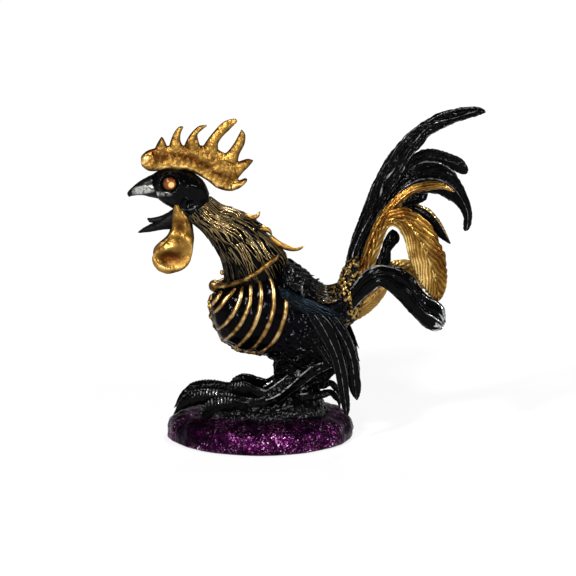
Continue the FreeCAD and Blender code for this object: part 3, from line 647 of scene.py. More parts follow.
leg_black = gloss_black("leg_enamel", wear_and_glint=(0.38, 0.38, 0.39), low=0.84, rough=0.12, patch=3, ease=-0.04)
shank_black = gloss_black("shank_enamel", wear_and_glint=(0.6, 0.6, 0.61), low=0.86, rough=0.1, patch=2.5)


def toe(name):
    """A toe with scales across its top and a smooth claw."""
    edges = toe_rows[name]
    depths = leg_depth - toe_splay * toe_splays[name] * np.linspace(0, 1, len(edges)) ** 2
    rings, along, turn = form(tapered(edges, toe_swell, 3), toe_thickness, depths, 0.35, 40)
    part = along / along[-1]
    toe_end = held((claw_start - part) * 12)
    top = held(np.cos(turn) + 0.65)
    scuted = np.clip(4 * (part - 0.3), 0.15, 1) * held(0.8 + grain(rings, 7, 5)) * toe_end
    scales = crests(along / toe_scale + 0.25 * np.cos(turn * 2)) * top * scuted
    tendon = bell(turn - tendon_turn, 0.35) * held(1.2 - 1.4 * part)
    pads = crests(along / toe_pad) * held(-np.cos(turn)) * toe_end
    rings = pushed(rings, 0.5 * scales + 0.7 * pads + 0.9 * tendon - 0.3 + rumpled(rings, toe_lumps))
    # The ridge puts painted glints along the scales and the tendon.
    return shell(rings, held(scales * 0.9 + tendon + 0.55 * (1 - toe_end) * top))


def shank():
    """A bare shank with tendons along it and fine scales between them."""
    rings, along, turn = form(shank_rows, shank_thickness, leg_depth, 0.35, 64)
    tendons = crests(turn / (2 * math.pi) * shank_tendons + 0.2 + 0.15 * np.sin(along / 9)) ** 3
    scales = crests(along / shank_scale) * held(grain(rings, 6, 2) * 2)
    rings = pushed(rings, 1.1 * tendons + 0.3 * scales * (1 - tendons) + 0.4 * grain(rings, 2.6, 3) - 0.4)
    # The ridge puts painted glints along the tendons.
    return shell(rings, held(tendons * 0.95 + 0.2 * scales))


def on_skin(rings, normals, part, turn):
    """Points of a tube at shares of its length and turn, and the outward directions there."""
    count, sides = rings.shape[:2]
    row = held(part) * (count - 1)
    column = (turn % 1) * sides
    r = np.minimum(row.astype(int), count - 2)
    c = column.astype(int) % sides
    fr, fc = (row - r)[..., None], (column - np.floor(column))[..., None]
    found = []
    for field in (rings, normals):
        low = field[r, c] * (1 - fc) + field[r, (c + 1) % sides] * fc
        high = field[r + 1, c] * (1 - fc) + field[r + 1, (c + 1) % sides] * fc
        found.append(low * (1 - fr) + high * fr)
    return found


def across_path(path, outs):
    """The outward and the sideways direction of a section at each step of a path."""
    along = unit(np.gradient(path, axis=-2))
    out = unit(outs - along * np.sum(along * outs, -1, keepdims=True))
    return out, np.cross(along, out)


def locks(paths, outs, widths, heights, sides=7, tip=0.12):
    """Tapered strands along paths shaped (strands, steps, 3), each with its back along outs."""
    out, side = across_path(paths, outs)
    steps = np.linspace(0, 1, paths.shape[1])
    taper = (np.minimum(1, 0.55 + 2 * steps) * (1 - (1 - tip) * steps ** 3))[:, None, None]
    turn = angles(sides)
    back, edge = np.cos(turn)[:, None], np.sin(turn)[:, None]
    widths, heights = (np.broadcast_to(w, len(paths))[:, None, None, None] / 2 for w in (widths, heights))
    grids = paths[:, :, None] + taper * (out[:, :, None] * heights * back + side[:, :, None] * widths * edge)
    ridge = held(0.5 + 0.5 * np.cos(turn)) * np.ones((len(paths), len(steps), 1))
    return shell(grids, ridge)


def laid(rings, starts, turns, length, widths, heights, sway=0.01, lift=1.0, drift=0.0, rise=0.2, steps=22,
         seed=1):
    """Strands laid along a tube: each starts at a share of its length and turn, and lifts at its tip."""
    dice = np.random.default_rng(seed)
    normals = outward(rings)
    count = len(starts)
    step = np.linspace(0, 1, steps)
    part = starts[:, None] + length * dice.uniform(0.75, 1.2, (count, 1)) * step
    phase = dice.uniform(0, 6.3, (count, 1))
    wave = np.sin(step * dice.uniform(5, 9, (count, 1)) + phase) - np.sin(phase)
    turn = turns[:, None] + sway * wave + drift * step * dice.uniform(-1, 1, (count, 1))
    points, outs = on_skin(rings, normals, part, turn)
    over = np.clip(part - 1, 0, None)[..., None]
    ends, inner = (on_skin(rings, normals, np.full_like(part, 1 - back), turn)[0] for back in (0, end_step))
    points = points + (ends - inner) / end_step * over
    height = rise + lift * dice.uniform(0.5, 1.3, (count, 1)) * step ** 2.5
    points = points + outs * height[..., None]
    return locks(points, outs, widths, heights)


def scattered(count, low, high, seed):
    """Places spread evenly but not in rows between two corners."""
    k = np.arange(count) + 0.5
    shares = [(k * step + seed * shift) % 1 for step, shift in spread_steps]
    return [a + (b - a) * share for a, b, share in zip(low, high, shares)]


def strewn(rings, spread, sizes, flow):
    """Strands scattered over a tube: how they spread, their length, width and height, and how they lie."""
    return laid(rings, *scattered(*spread), *sizes, **flow)


def thigh():
    """A thigh of short ragged tufts, melted together into swirls."""
    rings = form(thigh_rows, thigh_thickness, thigh_depths, 0.5, 72)[0]
    rings = pushed(rings, pebbles(rings, 4.6, 5) * 1.6 + grain(rings, 7, 2) - 2.4)
    knobs = fused([shell(rings), strewn(rings, *thigh_tufts)], 0.5, 2)
    lumps = pebbles(knobs[0], 4.5, 5)
    swirls = crests(rumpled(knobs[0], thigh_swirls))
    relief = 0.7 * lumps + 0.6 * swirls + 0.4 * grain(knobs[0], 1.8, 4) - 0.6
    # The ridge puts painted glints on the swirls' crests and the lumps' tops.
    return raised(knobs, relief, 0.25 * lumps + 0.75 * swirls)


for toe_name in toe_rows:
    cast_pair(toe_name, toe(toe_name), leg_black)
cast_pair("shank", shank(), shank_black)
thigh_black = gloss_black("thigh_enamel", wear_and_glint=(0.5, 0.5, 0.51), low=0.93, rough=0.09, patch=2.5, ease=-0.08,
                          gloss=0.03, grit=0.1)
cast_pair("thigh", thigh(), thigh_black)

# The torso: a black barrel that shows between the ribs and runs back to the tail.
# It is cast resin in gloss black, with a thin painted purple and blue sheen in the gaps and painted glints on
# its knobs.
torso_rows = [(212, 293, 211, 316, 0.3), (219, 287, 215, 329, 0.56), (230, 282, 223, 342, 0.78),
              (244, 276, 237, 351, 0.92), (260, 267, 255, 355, 1), (277, 262, 275, 361, 1),
              (294, 266, 292, 367, 0.98), (309, 276, 309, 366, 0.9), (324, 287, 325, 353, 0.76),
              (337, 287, 338, 336, 0.6), (347, 279, 351, 319, 0.4)]
torso_width = 46
core_inset = 0.93
core_rings = 240
core_sides = 180
core_lumps = [(0.7, 5, 9), (0.2, 2, 8)]
core_knob = 2.2
core_sheens = [(0.0025, 0.001, 0.004), (0.001, 0.0012, 0.003)]
core_black_and_glint = [(0.0006, 0.0006, 0.0008), (0.35, 0.35, 0.36)]
breast_corner = (242, 292)
breast_swell = 2
knobs_start = np.array([(284, 286), (290, 300), (289, 318), (283, 334), (275, 346), (265, 352)])


def barrel():
    """Middle, half height and half breadth of the barrel at even steps along it."""
    ax, ay, bx, by, share = evenly(torso_rows, core_rings).T
    top, bottom = place(ax, ay, 0), place(bx, by, 0)
    return (top + bottom) / 2, (top - bottom) / 2 * core_inset, torso_width / 2 * share


barrel_middle, barrel_half, barrel_breadth = barrel()


def barrel_at(x):
    """Middle height, half height and half breadth of the barrel at a place along it."""
    fields = (barrel_middle[:, 2], barrel_half[:, 2], barrel_breadth)
    return [np.interp(x, barrel_middle[:, 0], field) for field in fields]


def flank(u, v):
    """Depth of the near flank where it shows at a picture place."""
    middle, half, breadth = barrel_at((np.asarray(u, float) - middle_column) * pixel)
    depth = -breadth
    for _ in range(12):
        height = np.clip((place(u, v, depth)[..., 2] - middle) / half, -0.999, 0.999)
        depth = -breadth * np.sqrt(1 - height ** 2)
    return depth


def torso_core():
    """The barrel, smooth between the ribs, with melted knobs behind the last one and a fuller breast."""
    turn = angles(core_sides)
    rings = barrel_middle[:, None] + barrel_half[:, None] * np.cos(turn)[:, None]
    rings[..., 1] += barrel_breadth[:, None] * np.sin(turn)
    u, v = seen(rings)
    back = held((u - np.interp(v, knobs_start[:, 1], knobs_start[:, 0])) / 4)
    knobs = (0.6 * pebbles(rings, 5, 6) + 0.5 * crests(grain(rings, 6, 3) * 2.5)) * back
    breast = held((breast_corner[1] - v) / 6) * held((breast_corner[0] - u) / 8)
    relief = rumpled(rings, core_lumps) * (1 - 0.5 * back) + knobs * core_knob + breast * breast_swell - 0.3
    # The knobs also make the ridge, on whose crests the paint puts painted glints.
    return shell(pushed(rings, relief), knobs)


def core_paint():
    paint = Paint("core_enamel", specular_ior_level=0.03, roughness=0.12)
    # A painted purple and blue sheen in random patches, and painted glints on the highest knobs.
    sheen = paint.blend(paint.span(paint.noise(12, 1), 0.4, 0.6), *core_sheens)
    tone = paint.blend(paint.span(paint.noise(3, 3), 0.4, 0.75), core_black_and_glint[0], sheen)
    wear_and_glint = paint.rubbed((0.8, 1), 2.5, (0.57, 0.7))
    paint.bump(paint.noise(1.1, 4), 0.1, 0.6)
    return paint.finish(base_color=paint.blend(wear_and_glint, tone, core_black_and_glint[1]), metallic=wear_and_glint)


cast("torso_core", torso_core(), core_paint())

# The rib cage: seven gold ribs a side, a knuckled breastbone and a forked collarbone with a knob.
# They are cast with the body and brushed with old gold, which stays dark in the seams, partly as painted
# shade, and pale on the crests as a painted highlight.
rib_paths = [
    [(222, 291), (219, 297), (215, 302), (213, 305)],
    [(236, 288), (232, 294), (226, 300), (220, 308), (214, 313)],
    [(243, 283), (242, 291), (240, 301), (235, 311), (229, 320), (223, 326), (218, 328)],
    [(250, 279), (251, 291), (250, 303), (246, 314), (239, 326), (230, 336), (221, 341)],
    [(256, 275), (261, 287), (261, 302), (258, 316), (251, 331), (241, 343), (231, 348)],
    [(264, 270), (272, 283), (274, 299), (272, 315), (265, 332), (255, 346), (245, 351)],
    [(279, 286), (286, 300), (284, 318), (278, 334), (269, 346), (259, 352)],
]
rib_steps = 24
rib_width = 3.772
rib_height = 3.6
rib_stand = 0.3
sternum_path = [(212, 296), (210, 301), (211, 306), (211, 311), (212, 316), (214, 321), (216, 326),
                (219, 332), (223, 338), (230, 344), (238, 349), (249, 352), (260, 353), (272, 354)]
sternum_beads = [0.6, 0.8, 1, 0.66, 1, 0.66, 1, 0.66, 1, 0.7, 0.9, 0.66, 0.9, 0.5]
sternum_bead = 5.2
chest_middle = (300, 318)
collarbone_path = [(215, 285, 0), (222, 286, 0.32), (233, 284, 0.62), (248, 278, 0.9), (260, 271, 1.02),
                   (270, 263, 1.04), (279, 256, 0.9)]
collarbone_spread = 40
collarbone_thickness = 3.8
collarbone_swell = [1.15, 1.1, 1, 0.95, 0.95, 1, 0.8]
collarbone_lumps = [(0.25, 3, 2), (0.12, 1.2, 5)]
knob_beads = [((214.5, 286), 8.6, (0.95, 1, 1.05)), ((219, 285), 6.8, (1.2, 1.1, 0.9))]


def gold_paint(name, bright=(0.42, 0.235, 0.05), dark=(0.055, 0.017, 0.003), pale=(0.8, 0.55, 0.21), size=1.0,
               depth=0.25, low=0.15, high=0.75, crest=0.9, rough=0.34, body=0.5, mottle=0.15):
    """Metallic gold lacquer, hammered or smooth: brown in the seams as dry-brushing and painted shade, and
    pale on the crests as a painted highlight.
    """
    paint = Paint(name, metallic=0.96, specular_ior_level=0.1)
    patches = paint.noise(size * 5, 4)
    middle_tone = tuple(body * b + (1 - body) * d for b, d in zip(bright, dark))
    tone = paint.blend(paint.span(patches, 0.35, 0.65), middle_tone, bright)
    height = paint.calc("ADD", paint.ridge(), paint.span(patches, 0.3, 0.7, -mottle, mottle))
    # Low ridge turns brown, partly dry-brushing and partly painted shade; high ridge turns pale, a painted
    # highlight.
    tone = paint.blend(paint.span(height, low, high), dark, tone)
    tone = paint.blend(paint.span(height, crest, crest + 0.25), tone, pale)
    paint.bump(paint.noise(size, 3), depth, 0.8)
    paint.bump(paint.noise(size / 2.5, 2), depth / 3, 0.6)
    rough_share = paint.span(paint.noise(size * 3, 3), 0.3, 0.7, rough - 0.08, rough + 0.14)
    return paint.finish(base_color=tone, roughness=rough_share)


bone_gold = gold_paint("bone_gold", bright=(0.27, 0.15, 0.038), dark=(0.018, 0.006, 0.001),
                       pale=(0.58, 0.41, 0.19), size=1.4, depth=0.15, low=0.5, high=0.95, crest=0.9)


def bar(points, outs, widths, heights, sides=24, spacing=0.35, rough=0.15, seed=1):
    """A bone along points: its section is round, its ends are rounded over and its skin slightly uneven."""
    sizes = (np.broadcast_to(size, len(points)) for size in (widths, heights))
    length = np.sum(np.linalg.norm(np.diff(points, axis=0), axis=1))
    table = np.column_stack([points, np.zeros(len(points)), outs, *sizes])
    rows = evenly(table, max(int(length / spacing), 10))
    path, wide, high = rows[:, :3], rows[:, 7:8], rows[:, 8:]
    out, side = across_path(path, rows[:, 4:7])
    turn = angles(sides)
    gone = np.linspace(0, length, len(path))[:, None]
    near_end = np.minimum(gone, length - gone) / (wide.min() / 2)
    close = np.sqrt(np.clip(1 - held(1 - near_end) ** 2, 0.01, 1)) / 2
    back, edge = high * close * np.cos(turn), wide * close * np.sin(turn)
    rings = path[:, None] + out[:, None] * back[..., None] + side[:, None] * edge[..., None]
    rings = pushed(rings, rumpled(rings, [(rough, 2.2, seed), (rough, 5, seed)]))
    # The ridge is high along the back of the bone and low on its flanks: a painted highlight on top, painted
    # shade at the sides.
    return shell(rings, held(0.4 + 0.62 * np.cos(turn) + 0.25 * grain(rings, 3, seed)))


def rib(number):
    """A near rib, which stands square on the barrel's flank and is thinner at both ends."""
    u, v = evenly([(*spot, 0, 0) for spot in rib_paths[number]], rib_steps).T[:2]
    depth = flank(u, v)
    points = place(u, v, depth)
    middle, half, breadth = barrel_at(points[:, 0])
    outs = unit(np.stack([0 * depth, depth / breadth ** 2, (points[:, 2] - middle) / half ** 2], -1))
    steps = np.linspace(0, 1, rib_steps)
    taper = np.minimum(1, 0.66 + 1.2 * np.minimum(steps, 1 - steps))
    return bar(points + outs * rib_stand, outs, rib_width * taper, rib_height * taper, rough=0.07,
               seed=number)


for number in range(len(rib_paths)):
    near_rib = rib(number)
    cast(f"rib_pair_{number + 1}", joined([near_rib, far_twin(near_rib)]), bone_gold)


def ball(middle, size, stretch=(1, 1, 1), sides=20):
    """A rounded bead of a given size."""
    fall = np.linspace(0.02, math.pi - 0.02, sides // 2 + 2)[:, None]
    turn = angles(sides)
    rings = np.stack([np.sin(fall) * np.cos(turn), np.sin(fall) * np.sin(turn),
                      np.broadcast_to(np.cos(fall), (len(fall), sides))], -1)
    return shell(np.asarray(middle) + rings * np.asarray(stretch) * size / 2)


def sternum():
    """A breastbone of knuckles of several sizes, melted together along a bar."""
    points = place(*np.array(sternum_path).T, 0)
    sizes = np.array(sternum_beads) * sternum_bead
    parts = [bar(points, points - place(*chest_middle, 0), sizes * 0.9, sizes * 0.9, rough=0)]
    parts += [ball(point, size, (1, 1.15, 1)) for point, size in zip(points, sizes)]
    bone = fused(parts, 0.4, 3)
    knuckles = pebbles(bone[0], 2.4, 3)
    return raised(bone, knuckles * 0.5 + 0.2 * grain(bone[0], 1.5) - 0.25, 0.25 + knuckles * 0.8)


def collarbone():
    """Two arms that run back along the shoulders from a knob of two beads."""
    u, v, share = np.array(collarbone_path, float).T
    points = place(u, v, -collarbone_spread / 2 * share)
    sizes = collarbone_thickness * np.array(collarbone_swell)
    arm = bar(points, np.tile((0, -0.3, 1.0), (len(points), 1)), sizes, sizes * 0.95, seed=4)
    knob = [ball(place(*spot, 0), size, stretch) for spot, size, stretch in knob_beads]
    bone = fused([arm, far_twin(arm), *knob], 0.4, 4)
    relief = rumpled(bone[0], collarbone_lumps)
    return raised(bone, relief, 0.8 + relief)


cast("sternum", sternum(), bone_gold)
cast("collarbone", collarbone(), bone_gold)

# The saddle: long thin feathers laid over the back, under a curly shoulder patch.
# They are cast in one with the back in gloss black, which takes on gold flecks towards the tail and painted
# glints on the highest tufts.
saddle_rows = [(284, 258, 282, 280, 0.96), (298, 267, 295, 289, 0.97), (312, 277, 308, 299, 0.88),
               (326, 285, 323, 308, 0.76), (341, 280, 343, 311, 0.54)]
saddle_width = 49.2
saddle_sink = 2
saddle_strands = [
    ((110, (0, -0.25), (0.66, 0.25), 1), (0.5, 2.4, 1.6), dict(sway=0.003, lift=0.3, drift=0.006, seed=8)),
    ((22, (0.12, -0.09), (0.6, 0.09), 5), (0.12, 2.0, 1.8), dict(sway=0.02, lift=3.2, seed=3)),
    ((26, (0, 0.66), (0.3, 0.86), 2), (0.17, 5.2, 5), dict(sway=0.06, lift=1.2, drift=0.06, seed=6)),
]
flecks_start = (0.038, 0.06)
feather_black = gloss_black("feather_enamel", wear_and_glint=(0.25, 0.25, 0.26), low=0.86)


def back_paint():
    """Gloss black, rubbed pale on the highest tufts, partly as painted glints, that takes on gold flecks
    towards the tail root.
    """
    paint = Paint("back_enamel", specular_ior_level=0.05, roughness=0.12)
    wear_and_glint = paint.rubbed((0.97, 1), 3, (0.52, 0.64))
    nearing = paint.span(paint.split(paint.place, "ShaderNodeSeparateXYZ")[0], *flecks_start)
    flecks = paint.calc("MULTIPLY", nearing, paint.rubbed((0.3, 0.8), 2, (0.54, 0.64)))
    tone = paint.blend(wear_and_glint, enamel_black, (0.3, 0.3, 0.31))
    tone = paint.blend(flecks, tone, (0.34, 0.2, 0.055))
    paint.bump(paint.noise(1.3, 4), 0.1, 0.6)
    return paint.finish(base_color=tone, metallic=paint.calc("MAXIMUM", wear_and_glint, flecks))


def saddle():
    """The back in long strands, with stray tufts along the top and short fat curls at each shoulder."""
    rings = pushed(form(saddle_rows, saddle_width, 0, 0.5, 150)[0], -saddle_sink)
    strands, tufts, curls = (strewn(rings, *kind) for kind in saddle_strands)
    return joined([shell(rings, 0.2), strands, tufts, curls, far_twin(curls)])


cast("saddle", saddle(), back_paint())

# The neck: two cast lengths of laid hackles, the upper skirt over the lower column.
# Every strand is black with gold dry-brushed along its crest, and its tip curls free.
lower_hackle_rows = [(208, 232, 235, 217, 0.72), (215, 245, 252, 224, 0.84), (221, 258, 267, 235, 0.94),
                     (224, 269, 278, 247, 0.98), (226, 281, 286, 257, 0.96), (233, 292, 288, 272, 0.8)]
upper_hackle_rows = [(187, 216, 211, 197, 0.6), (192, 222, 222, 206, 0.7), (201, 229, 236, 211, 0.82),
                     (209, 238, 249, 217, 0.93), (216, 249, 262, 226, 1)]
neck_width = 34
neck_sink = 0.6
throat_reach = 26
curl_steps = 26
curl_spreads = (-1.5, 0, 1.5)
curl_paths = [[(240, 218), (247, 217), (253, 218), (258, 216), (260, 212)],
              [(258, 228), (264, 229), (269, 231), (272, 235)],
              [(270, 236), (277, 243), (285, 247), (292, 249), (299, 249), (304, 246)],
              [(231, 268), (226, 271), (222, 273), (221, 270)]]
hackle_gold = gloss_black("hackle_brushed", low=0.84, high=1.0, rough=0.2, gold=1.4, patch=7, ease=0.18)
hackle_dark = gloss_black("hackle_deep", low=0.86, high=1.02, rough=0.2, gold=1.3, patch=7, ease=0.15)
curl_gold = gold_paint("curl_gold", size=0.8, depth=0.2, low=0.2, high=0.6)


def hackle(rows, tiers, count, length, width, seed):
    """A length of the neck under tiers of long strands that lie side by side and lift at their tips."""
    rings = pushed(form(rows, neck_width, 0, 0.5, 120)[0], -neck_sink)
    dice = np.random.default_rng(seed)
    parts = [shell(rings, 0.1)]
    for tier, start in enumerate(tiers):
        turns = (np.arange(count) + 0.5 * (tier % 2) + dice.uniform(-0.25, 0.25, count)) / count
        starts = held(start + dice.uniform(-0.06, 0.06, count))
        widths = dice.uniform(0.7, 1.2, count) * width
        parts.append(laid(rings, starts, turns, length, widths, widths * 1.2, sway=0.009, lift=1.3,
                          drift=0.013, steps=30, seed=seed + tier))
    points, quads, tris, ridge = joined(parts)
    u, v = seen(points)
    from_throat = held((0.73 * u - 0.68 * v + 16) / throat_reach)
    return points, quads, tris, ridge * (0.93 + 0.07 * from_throat)


def curls():
    """Four free tips, each of three strands that close up towards its end."""
    parts = []
    for path in curl_paths:
        u, v = evenly([(*spot, 0, 0) for spot in path], curl_steps).T[:2]
        for spread in curl_spreads:
            strand = place(u, v, 0)
            strand[:, 1] += spread * (1.2 - np.linspace(0, 1, curl_steps))
            parts.append(locks(strand[None], np.tile((0, 0, 1.0), (1, curl_steps, 1)), 3.2, 4.2, 12, 0.15))
    return joined(parts)


lower_hackle = hackle(lower_hackle_rows, (0.05, 0.32), 58, 0.68, 1.5, 2)
upper_hackle = hackle(upper_hackle_rows, (0, 0.22, 0.48), 58, 0.56, 1.45, 3)
cast("hackle_lower", lower_hackle, hackle_dark)
cast("hackle_upper", upper_hackle, hackle_gold)
cast("hackle_curls", curls(), curl_gold)

# The head: a bare skull with brow, cheeks and socket, and a parted beak with its tongue.
# It is smooth gloss black resin, and the upper beak is brushed silver; thin arcs round the cheek and the ear
# carry painted highlights.
skull_rows = [(151, 177, 157, 198, 0.5), (160, 172, 165, 204, 0.74), (172, 170, 174, 209, 0.96),
              (185, 171, 184, 215, 1), (196, 175, 192, 219, 0.94), (205, 183, 198, 222, 0.8),
              (210, 194, 204, 220, 0.55)]
head_width = 22
upper_beak_rows = [(155, 175, 166, 201, 1), (146, 179, 153, 198, 0.84), (138, 184, 144, 196, 0.6),
                   (131, 190, 136, 196, 0.36), (128, 194, 130, 198, 0.14)]
lower_beak_rows = [(177, 207, 175, 229, 1), (167, 214, 163, 230, 0.9), (158, 221, 151, 232, 0.7),
                   (148, 226, 142, 233, 0.45), (140, 231, 138, 233, 0.14)]
tongue_rows = [(172, 211, 168, 222, 1), (162, 216, 160, 223, 0.9), (153, 218, 151, 223, 0.66),
               (148, 218, 148, 220, 0.3)]
skull_forms = [(166, 175, 4, 1.2), (175, 173, 5, 1.2), (187, 180, 5, 1.2), (196, 188, 7, 1.8),
               (187, 198, 5, -2), (183, 208, 4, 1.8), (196, 205, 5, -1.6), (177, 198, 4, 1.2),
               (190, 206, 2.5, -1.8), (203, 200, 4, -0.9), (199, 213, 4, 1)]
skull_lumps = [(0.2, 3.4, 2), (0.08, 1.2, 4)]
brow_distance = 9.5
brow_height = 1.4
socket_reach = 8
socket_depth = 1.5
cheek_place = (187, 187)
ear_place = (190, 206)
rubbed_place = (163, 195)
beak_width = 13
tongue_width = 6
eye_place = (171, 185)
eye_diameter = 9.4


def melted(rows, thickness, depths, spacing, sides, voxel, passes):
    """A form between two edges in the picture, melted smooth."""
    return fused([shell(form(rows, thickness, depths, spacing, sides)[0])], voxel, passes)


def swell(points, u, v, reach, height):
    """A soft swelling, or a hollow where height is below 0, around a picture place."""
    pu, pv = seen(points)
    return height * bell(np.hypot(pu - u, pv - v), reach)


skull_black = gloss_black("skull_enamel", wear_and_glint=(0.4, 0.39, 0.38), low=0.3, high=0.8, rough=0.1,
                          gloss=0.06, grit=0.1)


def skull():
    """A bare skull: swollen brows and cheeks, hollow sockets and ears, a strip rubbed by the beak and thin
    arcs with painted highlights.
    """
    head = melted(skull_rows, head_width, 0, 0.5, 72, 0.45, 4)
    points = head[0]
    side = held(np.abs(points[:, 1]) / 5)
    u, v = seen(points)
    from_eye = np.hypot(u - eye_place[0], v - eye_place[1])
    socket = socket_depth * held(1 - from_eye / socket_reach)
    relief = brow_height * bell(from_eye - brow_distance, 2) - socket
    for skull_form in skull_forms:
        relief += swell(points, *skull_form)
    relief = relief * side + rumpled(points, skull_lumps)
    strip = bell(u - rubbed_place[0], 11) * bell(v - rubbed_place[1], 2.6)
    cheek = np.hypot(u - cheek_place[0], v - cheek_place[1])
    ear = np.hypot((u - ear_place[0]) / 1.7, v - ear_place[1])
    # Thin raised arcs round the cheek and under the ear, which carry painted highlights.
    highlight_arcs = bell(cheek - 5.5, 1.2) * held((370 - u - v) / 8) \
        + bell(ear - 4.5, 0.9) * held((v - 205) / 4)
    relief = relief + side * (1.2 * bell(cheek, 6, 4) - 1.3 * bell(ear, 4, 4) + 0.3 * highlight_arcs)
    return raised(head, relief, np.maximum(strip, 0.45 * highlight_arcs * side))


def beak(rows, width, seed):
    """Half of the beak, or the tongue; ridge marks the middle of its side, which is rubbed bright."""
    part = melted(rows, width, 0, 0.3, 48, 0.4, 3)
    points = part[0]
    u, v = seen(points)
    streaks = grain(points * (0.5, 1, 2.5), 1.6, seed)
    bright = bell(u - 145, 12, 4) * bell(v - 190.5 + 0.15 * (u - 147), 4.6, 4)
    return raised(part, 0.12 * streaks + 0.15 * grain(points, 3, seed), bright * (0.85 + 0.3 * streaks))


def horn_paint():
    paint = Paint("silver_brushed_horn", specular_ior_level=0.1)
    scuffed = paint.rubbed((0.3, 0.8), 1.6, (0.36, 0.56), 5, 0.7)
    tone = paint.blend(scuffed, (0.002, 0.002, 0.002), (0.5, 0.49, 0.47))
    paint.bump(paint.noise(1.2, 4), 0.15, 0.5)
    return paint.finish(base_color=tone, metallic=paint.span(scuffed, 0, 1, 0, 0.8),
                        roughness=paint.span(paint.noise(2), 0.3, 0.7, 0.22, 0.4))


jaw_matt = gloss_black("jaw_enamel", tint=(0.003, 0.003, 0.0035), wear_and_glint=(0.03, 0.03, 0.032), low=1.0,
                       high=1.2, rough=0.4)
cast("skull", skull(), skull_black)
cast("beak_upper", beak(upper_beak_rows, beak_width, 3), horn_paint())
cast("beak_lower", beak(lower_beak_rows, beak_width, 5), jaw_matt)
cast("tongue", beak(tongue_rows, tongue_width, 7), jaw_matt)

# The eyes: amber glass cabochons glued into round sockets.
# A painted pale yellow highlight sits low on the right of each, and the rim stays dark.
eye_sink = 2.4
eye_rise = 1.8
eye_seat = 0.9
collar_rings = 8
dome_rings = 30
eye_sides = 56
eye_highlight_shift = (1.7, -0.7)
eye_highlight_reach = 3.5


def amber_glass():
    paint = Paint("amber_glass", roughness=0.08, specular_ior_level=0.12, coat_weight=0.1,
                  coat_roughness=0.03)
    tone = paint.blend(paint.span(paint.ridge(), 0.1, 0.46), (0.005, 0.001, 0.0005), (0.17, 0.04, 0.004))
    tone = paint.blend(paint.span(paint.noise(0.8, 3), 0.45, 0.7, 0, 0.7), tone, (0.1, 0.02, 0.003))
    # The palest tone is a painted highlight in the glass.
    tone = paint.blend(paint.span(paint.ridge(), 0.64, 0.84), tone, (0.62, 0.4, 0.14))
    return paint.finish(base_color=tone)


def eye():
    """A low dome on a short collar; ridge is dark at the rim and bright at a painted highlight low on the
    right.
    """
    middle = place(*eye_place, -head_width / 2 * eye_seat)
    reach = np.concatenate([np.linspace(0.85, 1, collar_rings),
                            np.cos(np.linspace(0, math.pi / 2 - 0.03, dome_rings))])[:, None]
    rise = np.concatenate([np.linspace(-eye_sink, 0, collar_rings),
                           eye_rise * np.sin(np.linspace(0, math.pi / 2, dome_rings))])[:, None]
    turn = angles(eye_sides)
    x, z = (eye_diameter / 2 * reach * wave(turn) for wave in (np.cos, np.sin))
    rings = middle + np.stack([x, np.broadcast_to(-rise, x.shape), z], -1)
    spot = np.hypot(x - eye_highlight_shift[0], z - eye_highlight_shift[1])
    edge = held(1 - reach ** 3)
    return shell(rings, held(edge * 0.5 + held(1 - spot / eye_highlight_reach) * 0.8))


cast_pair("eye", eye(), amber_glass())

# The comb and the wattles: a tall crest of seven curled flames, and two dished lobes under the cheeks.
# They are cast apart, glued on and lacquered in hammered gold, with painted brown shade and painted
# highlights on their relief.
comb_ridge = [(143, 158, 143, 167, 0.6), (149, 152, 150, 172, 1), (160, 149, 162, 172, 0.9),
              (173, 147, 176, 171, 0.86), (188, 147, 192, 173, 0.84), (203, 147, 207, 181, 0.8),
              (216, 150, 218, 189, 0.74), (228, 156, 230, 192, 0.62), (238, 165, 239, 189, 0.4)]
comb_flames = [
    [(154, 155, 170, 155), (158, 146, 168, 147), (161, 141, 166, 142), (163, 138, 164, 139)],
    [(169, 155, 186, 150), (171, 145, 182, 143), (175, 135, 182, 136), (180, 129, 184, 131),
     (184, 128, 185, 129)],
    [(184, 152, 202, 150), (187, 143, 199, 140), (193, 134, 199, 136), (200, 128, 203, 132),
     (207, 127, 208, 128)],
    [(201, 152, 220, 156), (207, 143, 219, 146), (214, 134, 223, 139), (224, 124, 231, 131),
     (233, 121, 237, 125), (237, 121, 238, 123)],
    [(220, 158, 238, 166), (228, 153, 240, 156), (235, 144, 245, 146), (240, 135, 246, 137),
     (242, 131, 243, 132)],
    [(234, 165, 238, 180), (241, 162, 244, 173), (248, 160, 249, 168), (253, 161, 254, 162)],
    [(232, 182, 232, 192), (240, 181, 240, 189), (245, 179, 246, 184), (247, 179, 248, 181)],
]
flame_swell = [0.7, 0.66, 0.56, 0.4, 0.26, 0.14]
comb_thickness = 9
comb_lumps = [(0.4, 5, 1), (0.3, 2.6, 2)]
comb_pebble = 2.8
comb_bands = {"rim": (3, 2.5), "hollow": (13, 5), "roots": (26, 4)}
comb_ends = (153, 240)
hammered_gold = gold_paint("hammered_gold", size=1.6, depth=0.35, low=0.1, high=0.9, rough=0.38, body=0.6)


